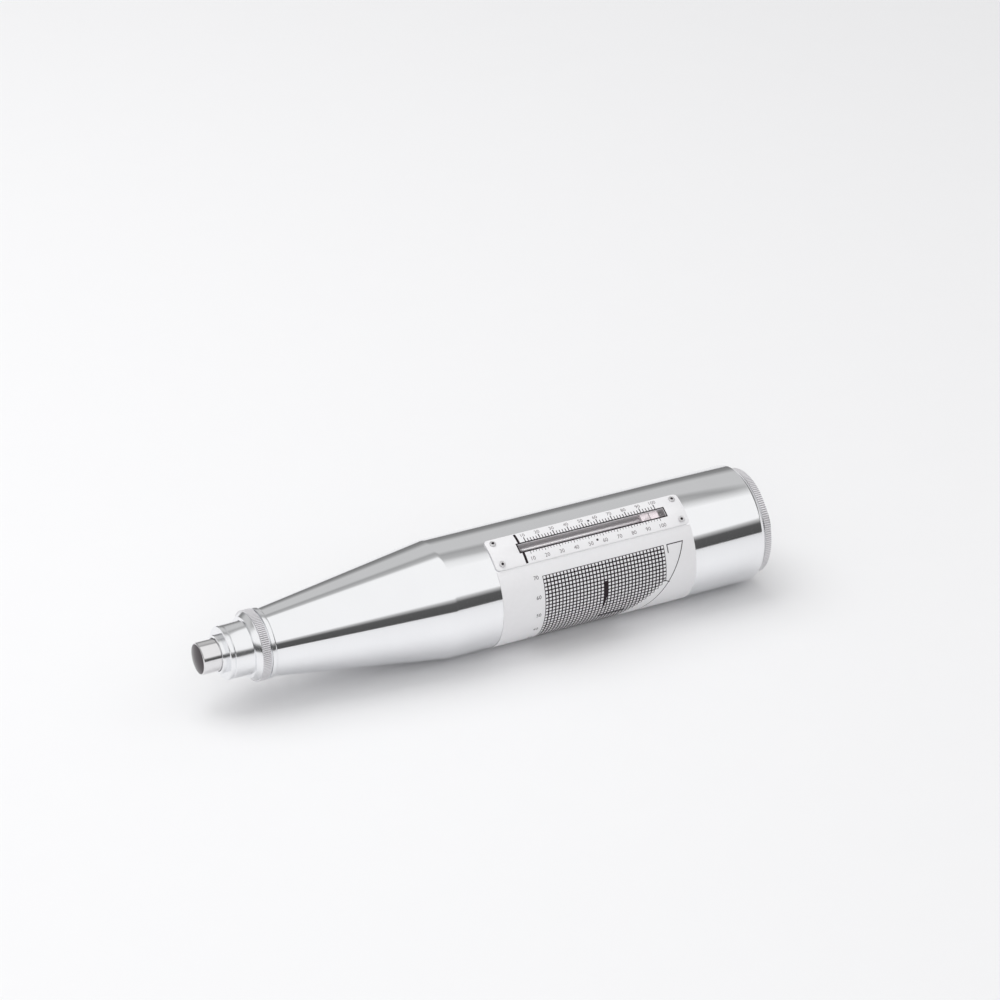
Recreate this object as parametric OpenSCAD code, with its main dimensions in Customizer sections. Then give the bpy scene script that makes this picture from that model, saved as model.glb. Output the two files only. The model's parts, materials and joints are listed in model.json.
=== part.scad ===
// Rebound test hammer for concrete: a spring-driven mass strikes a plunger that is
// pressed on the surface, and a rider on a scale keeps the height of the rebound.
//
// The pieces are drawn on the hammer's own axis, with z = 0 on the front face of the
// cap and +z towards the rear cover. lay_down() then turns the whole hammer onto its
// side, where it rests on its body and on the push button.

/* [Body] */
// Outer diameter of the cylindrical body
body_d = 56; // [54:0.5:60]
// Length of the cylindrical body, up to the rear chamfer
body_len = 159.2; // [158:0.2:175]
// Length of the cone between the cap and the body
cone_len = 84.8; // [80:0.2:95]
// Diameter of the cone at the cap
cone_front_d = 31.6; // [30:0.2:32]
// Thickness of the body's wall
body_wall = 5.5; // [5.2:0.1:5.8]
// Length of the chamfer at the body's rear edge
rear_chamfer_len = 2.2; // [1.5:0.1:3]
// Depth of the chamfer at the body's rear edge
rear_chamfer_depth = 1.6; // [1:0.1:2]

/* [Front cap] */
// Diameter of the cap's plain front
cap_d = 25; // [24.6:0.1:26]
// Length of the cap's plain front
cap_front_len = 11.5; // [10.5:0.1:13]
// Diameter of the cap's grip ring
cap_ring_d = 33; // [31.6:0.1:34]
// Length of the bevel up to the grip ring
cap_bevel_len = 2.4; // [1.8:0.1:3]
// Length of the knurled band
cap_knurl_len = 4; // [3:0.1:5]
// Length of the plain rim behind the knurl
cap_rim_len = 2.9; // [2:0.1:4]
// Diameter of the boss round the plunger
cap_boss_d = 18; // [17.2:0.1:19]
// Length of the boss round the plunger
cap_boss_len = 2.6; // [2:0.1:3.2]
// Number of teeth in the cap's knurl
cap_knurl_teeth = 108; // [80:1:120]

/* [Plunger] */
// Diameter of the impact plunger
plunger_d = 15; // [14.6:0.1:15.2]
// How far the stowed plunger stands out of the cap
plunger_proud = 12.2; // [10:0.1:14]
// Radius of the plunger's domed striking end
plunger_dome_r = 25; // [20:0.5:30]
// Diameter of the collar at the plunger's inner end
plunger_collar_d = 16.6; // [16.2:0.1:16.8]
// Stroke of the plunger and of the hammer mass
stroke = 75; // [70:0.5:76]

/* [Hammer mass] */
// Room between the hammer mass and the body's bore
mass_room = 3.5; // [3:0.1:6]
// Diameter of the guide bar
bar_d = 9; // [8:0.1:9.2]

/* [Scale] */
// Length of the scale plate and of the chart label
scale_len = 100.4; // [98:0.2:106]
// Width of the scale plate, across its chord
scale_w = 16.7; // [15.5:0.1:18]
// Thickness of the scale plate
scale_t = 0.8; // [0.6:0.1:1]
// Length of the window
window_len = 76; // [75:0.5:78]
// Width of the window and of the slot under it
window_w = 4.8; // [4.6:0.1:5.4]
// Reading at which the rider stands, from 0 to 100
rider_reading = 95; // [90:1:100]
// Angle that the chart label covers round the body, at most down to where the body lies
label_angle = 125; // [90:1:130]
// Thickness of the chart label
label_t = 0.15; // [0.1:0.05:0.3]

/* [Rear cover] */
// Diameter of the cover's knurled rim
cover_d = 50.4; // [50:0.2:51.4]
// Length of the cover's knurled rim
cover_rim_len = 4.7; // [4.2:0.1:6]
// Diameter of the recess round the lock nut
cover_recess_d = 22; // [20:0.2:24]
// Diameter of the trip screw
trip_screw_d = 8; // [7:0.1:8.4]
// Width of the lock nut across its flats
lock_nut_w = 13; // [12:0.1:14]
// Length of the return spring while the plunger is in
return_len = 21.65; // [19:0.05:24]
// Number of teeth in the cover's knurl
cover_knurl_teeth = 132; // [100:1:140]

/* [Push button] */
// Diameter of the push button's domed head
button_d = 8.4; // [8:0.1:9]
// How far the button stands out of the body
button_proud = 4; // [3.6:0.01:4.2]
// Travel of the button
button_travel = 2.5; // [1.5:0.1:2.6]

/* [Hidden] */
$fn = 64;

// Clearances: a gap between pieces that only meet, a slide, and a cut's overrun
seat_gap = 0.05;
slide_gap = 0.3;
cut = 1;

// Radii of the outer pieces
body_r = body_d / 2;
bore_r = body_r - body_wall;
cone_front_r = cone_front_d / 2;
cap_r = cap_d / 2;
cap_ring_r = cap_ring_d / 2;
plunger_r = plunger_d / 2;
collar_r = plunger_collar_d / 2;
bar_r = bar_d / 2;
mass_r = bore_r - mass_room;

// Stations along the axis of the outer pieces
cap_len = cap_front_len + cap_bevel_len + cap_knurl_len + cap_rim_len;
cone_z = cap_len;
body_z = cone_z + cone_len;
chamfer_z = body_z + body_len;
body_end_z = chamfer_z + rear_chamfer_len;
cover_end_z = body_end_z + cover_rim_len;
cover_inset = 3.5;
cover_floor_z = body_end_z - cover_inset;

// Nose of the housing, under the cap
cap_front_wall = 3.4;
felt_t = 2.6;
cap_wall = 1.4;
cap_groove_z = 3.3;
cap_groove_depth = 0.4;
nose_r = cap_r - cap_wall - seat_gap;
nose_wall = 1.35;
nose_bore_r = nose_r - nose_wall;
nose_z = cap_front_wall + felt_t + seat_gap;
cap_hole_r = plunger_r + slide_gap;
nose_shoulder_z = cone_z + 2 * seat_gap;
ring_t = 2.6;
ring_end_z = nose_z + ring_t;

// Sleeve that carries the front end of the impact spring
seat_z = ring_end_z + seat_gap;
seat_r = nose_bore_r - seat_gap;
seat_flange_step = 1.4;
seat_flange_r = seat_r + seat_flange_step;
seat_flange_t = 1.7;
seat_tail_len = 5;
seat_flange_z = nose_shoulder_z + seat_gap;
cone_bore_z = nose_shoulder_z;
cone_bore_room = 1.3;
cone_bore_r = seat_flange_r + cone_bore_room;

// Impact spring
impact_wire_d = 2;
coil_room = 0.5;
impact_coil_r = seat_r + coil_room + impact_wire_d / 2;
impact_turns = 20;

// Plunger: the collar stops on the split ring when the plunger is out
collar_z = ring_end_z + stroke + slide_gap;
collar_len = 12.4;
plunger_end_z = collar_z + collar_len;
plunger_edge = 0.6;
plunger_bore_r = bar_r + 2 * slide_gap;
plunger_bore_len = 25;

// Buffer spring between the plunger's bore and the guide bar
buffer_wire_d = 1.1;
buffer_coil_r = plunger_bore_r - slide_gap - buffer_wire_d / 2;
buffer_len = 11.4;
buffer_turns = 5;
bar_z = plunger_end_z - plunger_bore_len + slide_gap + buffer_len + slide_gap;

// Guide disk, in front of the return spring
disk_gap = 1.5;
disk_t = 6;
disk_room = 0.7;
disk_r = bore_r - disk_room;
disk_end_z = cover_floor_z - return_len;
disk_z = disk_end_z - disk_t;
notch_r = mass_r - slide_gap;

// Hammer mass, at the end of its stroke against the plunger, a stroke in front of the disk
mass_z = plunger_end_z + slide_gap;
spigot_len = 11.4;
spigot_r = seat_r - seat_gap;
mass_body_z = mass_z + spigot_len;
neck_r = 6;
neck_len = 4;
head_r = 8.5;
head_len = 3.3;
head_end_z = disk_z - disk_gap - stroke;
mass_end_z = head_end_z - head_len - neck_len;
mass_edge = 1;

// Pawl that hooks the mass's head, in the half plane below the axis
pawl_t = 4;
pawl_slot_w = pawl_t + 2 * slide_gap;
pawl_pin_r = 1.2;
pawl_reach = 11;
pawl_y = -pawl_reach;
pawl_z = disk_z + disk_t / 2;
pawl_boss_r = 2.9;
hook_reach = 7.5;
hook_len = 2.3;
hook_y = -(neck_r + 2 * slide_gap);
hook_root_y = -(head_r + 2 * slide_gap);
arm_y = pawl_y - pawl_boss_r;
tail_room = 3.8;
tail_z = disk_end_z + tail_room;
tail_t = 2.4;
tail_y = 1.5;
pawl_swing_room = 1.4;
pawl_slot_top = pawl_y + pawl_boss_r + pawl_swing_room;
pawl_slot_room = 3;
pawl_slot_bottom = arm_y - pawl_slot_room;
pawl_spring_y = -3.6;
pawl_wire_d = 0.5;
pawl_coil_r = 1.5;
pawl_turns = 3;

// Rear cover and trip screw
cover_r = cover_d / 2;
thread_step = 1.5;
thread_r = bore_r + thread_step;
thread_len = 12;
thread_z = body_end_z - thread_len;
cover_wall = 2.4;
recess_depth = 4;
recess_z = cover_end_z - recess_depth;
trip_r = trip_screw_d / 2;
trip_gap = 0.5;
trip_z = tail_z + tail_t + trip_gap;
trip_inset = 1;
trip_end_z = cover_end_z - trip_inset;
trip_slot_w = 1.2;
trip_slot_depth = 1.4;
nut_t = 3.2;

// Return spring between the disk and the cover
return_wire_d = 1.6;
return_inset = 4;
return_coil_r = bore_r - return_inset;
return_turns = 8;

// Scale: where the reading 10 lies, the window round it, and the rider on its rod
scale_lead = 23;
scale_z = body_z + scale_lead;
ten_lead = 19.1;
scale_ten_z = scale_z + ten_lead;
window_spare = 1;
rider_travel = window_len - window_spare;
tens_len = rider_travel / 10;
scale_zero_z = scale_ten_z - tens_len;
window_lead = 4.7;
window_z = scale_ten_z - window_lead;
rider_len = 8.8;
rider_end_gap = 0.6;
block_len = 5;
slot_z = scale_zero_z - rider_len / 2 - rider_end_gap - block_len;
slot_len = rider_travel + rider_len + 2 * (rider_end_gap + block_len);
scale_corner_r = 2;
screw_edge_z = 3.6;
screw_edge_x = 2.75;
screw_head_r = 1.5;
screw_head_t = 0.7;
screw_r = 0.9;
screw_len = 3.6;
screw_socket_r = 0.55;
screw_socket_depth = 0.4;
window_pin_r = 0.55;
window_pin_lead = 2.9;
window_pin_x = window_w / 2 + window_pin_lead;
window_pin_len = 2.4;
window_pin_z = scale_zero_z + 5.5 * tens_len;
plate_half_angle = asin(scale_w / 2 / (body_r + scale_t));
label_gap_angle = 0.6;

rod_r = 1.5;
rod_axis_r = body_r - body_wall / 2;
rod_end_gap = 0.5;
rider_z = scale_zero_z + rider_travel * rider_reading / 100;
rider_w = window_w - slide_gap;
rider_top_r = body_r - slide_gap;
rider_bottom_r = bore_r - slide_gap;
block_bottom_r = bore_r + slide_gap;
rider_bore_r = rod_r + seat_gap;
index_w = 0.35;
index_depth = 0.25;
leaf_t = 0.6;
leaf_w = 3;
leaf_tip_r = mass_r + slide_gap;
leaf_z = rider_z + mass_end_z - scale_zero_z + slide_gap;

// Push button, opposite the scale, in front of the guide disk
button_r = button_d / 2;
stem_r = 1.7;
button_z = disk_z - stem_r - slide_gap;
button_tip_r = body_r + button_proud;
dome_r = button_r;
dome_axis_r = button_tip_r - dome_r;
bush_r = 6.5;
bush_floor_t = 1.2;
bush_floor_r = bore_r + bush_floor_t;
bush_proud = 0.4;
bush_top_r = body_r + bush_proud;
lip_t = 0.9;
button_gap = 0.2;
lip_w = 0.8;
lip_r = button_r + button_gap;
bush_bore_r = lip_r + lip_w;
button_flange_r = bush_bore_r - button_gap;
button_flange_t = 0.9;
button_flange_top = bush_top_r - lip_t - seat_gap;
button_wall = 0.8;
button_cavity_r = button_r - button_wall;
button_cavity_rise = 1.3;
button_cavity_top = dome_axis_r + button_cavity_rise;
stem_tip_r = bore_r - button_gap;
stem_hole_r = stem_r + slide_gap;
button_wire_d = 0.5;
button_coil_room = 0.6;
button_coil_r = stem_r + button_coil_room + button_wire_d / 2;
button_turns = 3;

// The hammer lies on its body and on the button's dome, which sets the roll
roll = acos((body_r - dome_r) / dome_axis_r);

// The chart label ends just short of the line on which the body lies
label_rest_gap_angle = 0.3;
label_rest_angle = acos(body_r / (body_r + seat_gap + label_t)) + label_rest_gap_angle;
label_sweep = min(label_angle,
    180 - roll - plate_half_angle - label_gap_angle - label_rest_angle);
length_all = cover_end_z + plunger_proud;
middle_z = (cover_end_z - plunger_proud) / 2;

// Straight knurl: depth of a tooth
knurl_depth = 0.35;

// Counts for the wound springs
wire_sides = 6;
turn_rings = 12;

// Turns the hammer from its own axis onto its side, with the scale up and rolled
module lay_down() {
    translate([-middle_z, 0, body_r]) rotate([roll, 0, 0]) rotate([90, 0, 90]) children();
}

// A solid turned about the axis from points given as [radius, z]
module turned(points) {
    rotate_extrude() polygon(points);
}

// A plain tube between two stations
module tube(inner_r, outer_r, z0, z1) {
    turned([[inner_r, z0], [outer_r, z0], [outer_r, z1], [inner_r, z1]]);
}

// A straight-knurled disc with a tooth at each step round its edge
module knurled_disc(r, teeth, z0, z1) {
    points = [for (i = [0 : 2 * teeth - 1])
        let (a = 180 * i / teeth, edge = i % 2 == 0 ? r : r - knurl_depth)
        edge * [cos(a), sin(a)]];
    translate([0, 0, z0]) linear_extrude(z1 - z0) polygon(points);
}

// Stands a shape, drawn along +z, on the axis in the direction of the scale
module towards_scale(z) {
    translate([0, 0, z]) rotate([-90, 0, 0]) children();
}

// Stands a shape, drawn along +z, on the axis in the direction of the button
module towards_button(z) {
    translate([0, 0, z]) rotate([90, 0, 0]) children();
}

// A flat rectangle with rounded corners, centred on x and running along +y
module rounded_bar(w, len, r) {
    translate([-w / 2, r]) square([w, len - 2 * r]);
    translate([-w / 2 + r, 0]) square([w - 2 * r, len]);
    for (x = [-w / 2 + r, w / 2 - r], y = [r, len - r])
        translate([x, y]) circle(r);
}

// Cuts a bar-shaped prism through the wall on the scale's side
module scale_prism(w, z, len, r) {
    translate([0, body_r + 2 * scale_t, z]) rotate([90, 0, 0])
        linear_extrude(body_wall + 4 * scale_t) rounded_bar(w, len, r);
}

// One unbroken round wire wound as a spring between two stations
function wire_points(coil_r, wire_r, z0, z1, turns) =
    let (last = turns * turn_rings, rise = (z1 - z0 - 2 * wire_r) / last)
    [for (i = [0 : last], k = [0 : wire_sides - 1])
        let (a = 360 * i / turn_rings, b = 360 * k / wire_sides,
             r = coil_r + wire_r * cos(b))
        [r * cos(a), r * sin(a), z0 + wire_r + rise * i + wire_r * sin(b)]];

function wire_faces(turns) =
    let (last = turns * turn_rings, n = wire_sides)
    concat(
        [for (i = [0 : last - 1], k = [0 : n - 1]) [i * n + k, (i + 1) * n + k, i * n + (k + 1) % n]],
        [for (i = [0 : last - 1], k = [0 : n - 1])
            [(i + 1) * n + k, (i + 1) * n + (k + 1) % n, i * n + (k + 1) % n]],
        [for (k = [1 : n - 2]) [0, k, k + 1]],
        [for (k = [1 : n - 2]) [last * n, last * n + k + 1, last * n + k]]);

function wire_gap(wire_d, z0, z1, turns) = (z1 - z0 - wire_d) / turns - wire_d;

module wound_wire(coil_r, wire_d, z0, z1, turns) {
    polyhedron(wire_points(coil_r, wire_d / 2, z0, z1, turns), wire_faces(turns));
}

// Screw places on the scale plate, as [x across the plate, z along it]
screw_places = [for (x = [-1, 1], z = [screw_edge_z, scale_len - screw_edge_z])
    [x * (scale_w / 2 - screw_edge_x), scale_z + z]];

// Puts a piece square on the scale plate at a place across and along it
module on_plate(place) {
    angle = asin(place[0] / (body_r + scale_t));
    rotate([0, 0, -angle]) towards_scale(place[1]) children();
}

// Machined aluminium casing: nose, cone and body in one piece
module housing() {
    color([0.80, 0.81, 0.83]) difference() {
        turned([
            [nose_bore_r, nose_z], [nose_r, nose_z], [nose_r, nose_shoulder_z - seat_gap],
            [cone_front_r, nose_shoulder_z - seat_gap], [body_r, body_z], [body_r, chamfer_z],
            [body_r - rear_chamfer_depth, body_end_z], [thread_r, body_end_z],
            [thread_r, thread_z], [bore_r, thread_z], [bore_r, body_z - body_wall],
            [cone_bore_r, cone_bore_z], [nose_bore_r, cone_bore_z]
        ]);
        scale_prism(window_w, slot_z, slot_len, window_w / 4);
        for (place = screw_places)
            on_plate(place) translate([0, 0, body_r - screw_len])
                cylinder(r = screw_r + seat_gap, h = screw_len + cut);
        for (x = [-window_pin_x, window_pin_x])
            on_plate([x, window_pin_z]) translate([0, 0, body_r - window_pin_len])
                cylinder(r = window_pin_r + seat_gap, h = window_pin_len + cut);
        towards_button(button_z) {
            translate([0, 0, bore_r - cut]) cylinder(r = stem_hole_r, h = body_wall);
            translate([0, 0, bush_floor_r]) cylinder(r = bush_r + seat_gap, h = body_wall);
        }
    }
}

// Screw cap that closes the nose, with its knurled grip ring
module front_cap() {
    inner_r = nose_r + seat_gap;
    bevel_z = cap_front_len + cap_bevel_len;
    knurl_end_z = bevel_z + cap_knurl_len;
    knurl_root_r = cap_ring_r - 1.5 * knurl_depth;
    edge = cap_wall / 3;
    color([0.84, 0.85, 0.87]) difference() {
        union() {
            turned([
                [0, -cap_boss_len], [cap_boss_d / 2 - edge, -cap_boss_len],
                [cap_boss_d / 2, -cap_boss_len + edge], [cap_boss_d / 2, 0],
                [cap_r - edge, 0], [cap_r, edge], [cap_r, cap_groove_z],
                [cap_r - cap_groove_depth, cap_groove_z + cap_groove_depth],
                [cap_r, cap_groove_z + 2 * cap_groove_depth], [cap_r, cap_front_len],
                [cap_ring_r - cap_bevel_len, cap_front_len], [knurl_root_r, bevel_z],
                [knurl_root_r, knurl_end_z + edge], [cap_ring_r, knurl_end_z + 2 * edge],
                [cap_ring_r, cap_len - edge], [cap_ring_r - edge, cap_len], [0, cap_len]
            ]);
            knurled_disc(cap_ring_r, cap_knurl_teeth, bevel_z, knurl_end_z);
        }
        translate([0, 0, -cap_boss_len - cut])
            cylinder(r = cap_hole_r, h = cap_len + cap_boss_len);
        translate([0, 0, cap_front_wall]) cylinder(r = inner_r, h = cap_len);
    }
}

// Felt seal that wipes the plunger
module felt_washer() {
    color([0.35, 0.33, 0.30])
        tube(plunger_r + slide_gap / 2, nose_r, cap_front_wall, cap_front_wall + felt_t);
}

// Stop ring in two halves that keeps the plunger in
module split_ring() {
    gap = 2 * slide_gap;
    color([0.62, 0.60, 0.56]) difference() {
        tube(cap_hole_r, seat_r, nose_z, ring_end_z);
        translate([-seat_r - cut, -gap / 2, nose_z - cut])
            cube([2 * (seat_r + cut), gap, ring_t + 2 * cut]);
    }
}

// Sleeve that holds the front coils of the impact spring
module spring_seat() {
    inner_r = collar_r + slide_gap;
    flange_end_z = seat_flange_z + seat_flange_t;
    color([0.66, 0.64, 0.60]) turned([
        [inner_r, seat_z], [seat_r, seat_z], [seat_r, seat_flange_z],
        [seat_flange_r, seat_flange_z], [seat_flange_r, flange_end_z],
        [seat_r, flange_end_z], [seat_r, flange_end_z + seat_tail_len],
        [inner_r, flange_end_z + seat_tail_len]
    ]);
}

// Hardened plunger with a domed striking end and a stop collar
module plunger() {
    dome_edge_r = plunger_r - plunger_edge;
    dome_rise = plunger_dome_r - sqrt(plunger_dome_r ^ 2 - dome_edge_r ^ 2);
    dome_z = -plunger_proud + dome_rise;
    color([0.72, 0.71, 0.70]) difference() {
        union() {
            intersection() {
                translate([0, 0, plunger_dome_r - plunger_proud]) sphere(plunger_dome_r);
                translate([0, 0, -plunger_proud]) cylinder(r = dome_edge_r, h = plunger_proud);
            }
            turned([
                [0, dome_z], [dome_edge_r, dome_z], [plunger_r, dome_z + plunger_edge],
                [plunger_r, collar_z], [collar_r, collar_z],
                [collar_r, plunger_end_z], [0, plunger_end_z]
            ]);
        }
        translate([0, 0, plunger_end_z - plunger_bore_len])
            cylinder(r = plunger_bore_r, h = plunger_bore_len + cut);
    }
}

// Spring that cushions the guide bar in the plunger
module buffer_spring() {
    z0 = plunger_end_z - plunger_bore_len + slide_gap;
    color([0.45, 0.45, 0.48])
        wound_wire(buffer_coil_r, buffer_wire_d, z0, z0 + buffer_len, buffer_turns);
}

// Bar on which the hammer mass slides
module guide_bar() {
    color([0.75, 0.75, 0.77]) turned([
        [0, bar_z], [bar_r - plunger_edge, bar_z], [bar_r, bar_z + plunger_edge],
        [bar_r, disk_end_z], [0, disk_end_z]
    ]);
}

// Disk that carries the guide bar and the pawl
module guide_disk() {
    color([0.68, 0.66, 0.60]) difference() {
        tube(bar_r + seat_gap, disk_r, disk_z, disk_end_z);
        translate([-pawl_slot_w / 2, pawl_slot_bottom, disk_z - cut])
            cube([pawl_slot_w, pawl_slot_top - pawl_slot_bottom, disk_t + 2 * cut]);
        translate([-window_w / 2, notch_r, disk_z - cut])
            cube([window_w, disk_r, disk_t + 2 * cut]);
        translate([-disk_r, pawl_y, pawl_z]) rotate([0, 90, 0])
            cylinder(r = pawl_pin_r + seat_gap / 2, h = 2 * disk_r);
    }
}

// Pin on which the pawl turns
module pawl_pin() {
    len = 2 * pawl_slot_w;
    color([0.6, 0.6, 0.62]) translate([-len / 2, pawl_y, pawl_z]) rotate([0, 90, 0])
        cylinder(r = pawl_pin_r, h = len);
}

// Steel mass with a spigot for the spring and a head for the pawl
module hammer_mass() {
    bore = bar_r + slide_gap;
    color([0.52, 0.52, 0.55]) turned([
        [bore, mass_z], [spigot_r - mass_edge, mass_z], [spigot_r, mass_z + mass_edge],
        [spigot_r, mass_body_z], [mass_r - mass_edge, mass_body_z],
        [mass_r, mass_body_z + mass_edge], [mass_r, mass_end_z - mass_edge],
        [mass_r - mass_edge, mass_end_z], [neck_r, mass_end_z],
        [neck_r, mass_end_z + neck_len], [head_r, mass_end_z + neck_len],
        [head_r, head_end_z - mass_edge], [head_r - mass_edge, head_end_z], [bore, head_end_z]
    ]);
}

// Spring that drives the mass, relaxed at the end of the stroke
module impact_spring() {
    z0 = seat_flange_z + seat_flange_t + slide_gap;
    z1 = mass_body_z - slide_gap;
    echo(impact_spring_gap = wire_gap(impact_wire_d, z0, z1, impact_turns));
    color([0.40, 0.40, 0.43]) wound_wire(impact_coil_r, impact_wire_d, z0, z1, impact_turns);
}

// Pawl with a hook in front of its pin and a tail that meets the trip screw
module pawl() {
    hook_z = disk_z - hook_reach;
    color([0.58, 0.57, 0.55]) difference() {
        translate([-pawl_t / 2, 0, 0]) rotate([90, 0, 90]) linear_extrude(pawl_t) union() {
            translate([pawl_y, pawl_z]) circle(pawl_boss_r);
            polygon([
                [arm_y, pawl_z], [arm_y, hook_z], [hook_y, hook_z], [hook_y, hook_z + hook_len],
                [hook_root_y, hook_z + hook_len], [hook_root_y, pawl_z], [pawl_y, pawl_z]
            ]);
            polygon([
                [arm_y, pawl_z], [pawl_y + pawl_boss_r, pawl_z], [pawl_y + pawl_boss_r, tail_z],
                [tail_y, tail_z], [tail_y, tail_z + tail_t], [arm_y, tail_z + tail_t]
            ]);
        }
        translate([-pawl_t, pawl_y, pawl_z]) rotate([0, 90, 0])
            cylinder(r = pawl_pin_r + seat_gap, h = 2 * pawl_t);
    }
}

// Spring that closes the pawl
module pawl_spring() {
    color([0.45, 0.45, 0.48]) translate([0, pawl_spring_y, 0])
        wound_wire(pawl_coil_r, pawl_wire_d, disk_end_z + slide_gap, tail_z - slide_gap, pawl_turns);
}

// Spring that pushes the carriage and the plunger out
module return_spring() {
    z0 = disk_end_z + slide_gap;
    z1 = cover_floor_z - slide_gap;
    echo(return_spring_gap = wire_gap(return_wire_d, z0, z1, return_turns));
    color([0.40, 0.40, 0.43]) wound_wire(return_coil_r, return_wire_d, z0, z1, return_turns);
}

// Screwed rear cover with a knurled rim and a recess for the lock nut
module rear_cover() {
    inner_r = thread_r - cover_wall;
    edge = knurl_depth;
    core_r = cover_r - 1.5 * knurl_depth;
    color([0.84, 0.85, 0.87]) difference() {
        union() {
            turned([
                [inner_r, thread_z + seat_gap], [thread_r - seat_gap, thread_z + seat_gap],
                [thread_r - seat_gap, body_end_z + edge], [core_r, body_end_z + edge],
                [core_r, cover_end_z - edge], [core_r - edge, cover_end_z],
                [0, cover_end_z], [0, cover_floor_z], [inner_r, cover_floor_z]
            ]);
            knurled_disc(cover_r, cover_knurl_teeth, body_end_z + 2 * edge, cover_end_z - 2 * edge);
        }
        translate([0, 0, cover_floor_z - cut])
            cylinder(r = trip_r + seat_gap, h = cover_end_z - cover_floor_z + 2 * cut);
        translate([0, 0, recess_z]) cylinder(d = cover_recess_d, h = recess_depth + cut);
    }
}

// Screw that trips the pawl at the end of the stroke
module trip_screw() {
    edge = trip_slot_w / 2;
    color([0.55, 0.55, 0.57]) difference() {
        turned([
            [0, trip_z], [trip_r - edge, trip_z], [trip_r, trip_z + edge],
            [trip_r, trip_end_z - edge], [trip_r - edge, trip_end_z], [0, trip_end_z]
        ]);
        translate([-trip_r - cut, -trip_slot_w / 2, trip_end_z - trip_slot_depth])
            cube([2 * (trip_r + cut), trip_slot_w, trip_slot_depth + cut]);
    }
}

// Nut that locks the trip screw
module lock_nut() {
    color([0.60, 0.60, 0.62]) difference() {
        translate([0, 0, recess_z]) cylinder(r = lock_nut_w / sqrt(3), h = nut_t, $fn = 6);
        translate([0, 0, recess_z - cut]) cylinder(r = trip_r + seat_gap, h = nut_t + 2 * cut);
    }
}

// Curved plate with the scale, round the window
module scale_plate() {
    inner_r = body_r + seat_gap;
    color([0.90, 0.90, 0.91]) difference() {
        intersection() {
            tube(inner_r, body_r + scale_t, scale_z, scale_z + scale_len);
            scale_prism(scale_w, scale_z, scale_len, scale_corner_r);
        }
        scale_prism(window_w, window_z, window_len, window_w / 4);
        for (place = screw_places)
            on_plate(place) cylinder(r = screw_r + seat_gap, h = body_r + 2 * scale_t);
        for (x = [-window_pin_x, window_pin_x])
            on_plate([x, window_pin_z])
                cylinder(r = window_pin_r + seat_gap, h = body_r + 2 * scale_t);
    }
}

// Clear strip set in the scale plate
module scale_window() {
    color([0.75, 0.78, 0.82, 0.35]) intersection() {
        tube(body_r + seat_gap, body_r + scale_t - seat_gap, scale_z, scale_z + scale_len);
        scale_prism(window_w - 2 * seat_gap, window_z + seat_gap, window_len - 2 * seat_gap,
            window_w / 4);
    }
}

// Screws at the corners of the scale plate
module scale_screws() {
    head_z = body_r + scale_t + seat_gap;
    color([0.82, 0.82, 0.84]) for (place = screw_places)
        on_plate(place) difference() {
            turned([
                [0, head_z - screw_len], [screw_r, head_z - screw_len], [screw_r, head_z],
                [screw_head_r, head_z], [screw_head_r, head_z + screw_head_t / 2],
                [screw_head_r - screw_head_t / 2, head_z + screw_head_t],
                [0, head_z + screw_head_t]
            ]);
            translate([0, 0, head_z + screw_head_t - screw_socket_depth])
                cylinder(r = screw_socket_r, h = screw_socket_depth + cut);
        }
}

// Small pins beside the window, flush with the plate
module window_pins() {
    color([0.25, 0.25, 0.27]) for (x = [-window_pin_x, window_pin_x])
        on_plate([x, window_pin_z]) translate([0, 0, body_r - window_pin_len + seat_gap])
            cylinder(r = window_pin_r, h = window_pin_len + scale_t);
}

// Adhesive chart label round the body beside the scale plate
module chart_label() {
    color([0.93, 0.93, 0.94]) rotate([0, 0, 90 + plate_half_angle + label_gap_angle])
        rotate_extrude(angle = label_sweep)
            translate([body_r + seat_gap, scale_z]) square([label_t, scale_len]);
}

// Rod on which the rider slides
module rider_rod() {
    color([0.70, 0.70, 0.72]) translate([0, rod_axis_r, slot_z + rod_end_gap])
        cylinder(r = rod_r, h = slot_len - 2 * rod_end_gap);
}

// Blocks in the slot's ends that hold the rod
module rod_blocks() {
    w = window_w - 2 * seat_gap;
    color([0.50, 0.48, 0.42]) for (z = [slot_z, slot_z + slot_len - block_len])
        difference() {
            intersection() {
                translate([-w / 2, block_bottom_r, z + seat_gap])
                    cube([w, body_wall - 2 * slide_gap, block_len - 2 * seat_gap]);
                scale_prism(w, slot_z + seat_gap, slot_len - 2 * seat_gap, window_w / 4);
            }
            translate([0, rod_axis_r, z]) cylinder(r = rider_bore_r, h = block_len);
        }
}

// Rider that shows the reading, with an index line across its top
module rider() {
    color([0.86, 0.82, 0.84]) difference() {
        translate([-rider_w / 2, rider_bottom_r, rider_z - rider_len / 2])
            cube([rider_w, rider_top_r - rider_bottom_r, rider_len]);
        translate([0, rod_axis_r, rider_z - rider_len])
            cylinder(r = rider_bore_r, h = 2 * rider_len);
        translate([-rider_w, rider_top_r - index_depth, rider_z - index_w / 2])
            cube([2 * rider_w, index_depth + cut, index_w]);
    }
}

// Leaf under the rider that the mass pushes on its rebound
module rider_leaf() {
    front_z = min(rider_z - rider_len / 2, leaf_z);
    rear_z = max(rider_z + rider_len / 2, leaf_z + leaf_t);
    top_r = rider_bottom_r - seat_gap;
    color([0.55, 0.52, 0.45]) union() {
        translate([-leaf_w / 2, top_r - leaf_t, front_z])
            cube([leaf_w, leaf_t, rear_z - front_z]);
        translate([-leaf_w / 2, leaf_tip_r, leaf_z])
            cube([leaf_w, top_r - leaf_tip_r, leaf_t]);
    }
}

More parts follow.
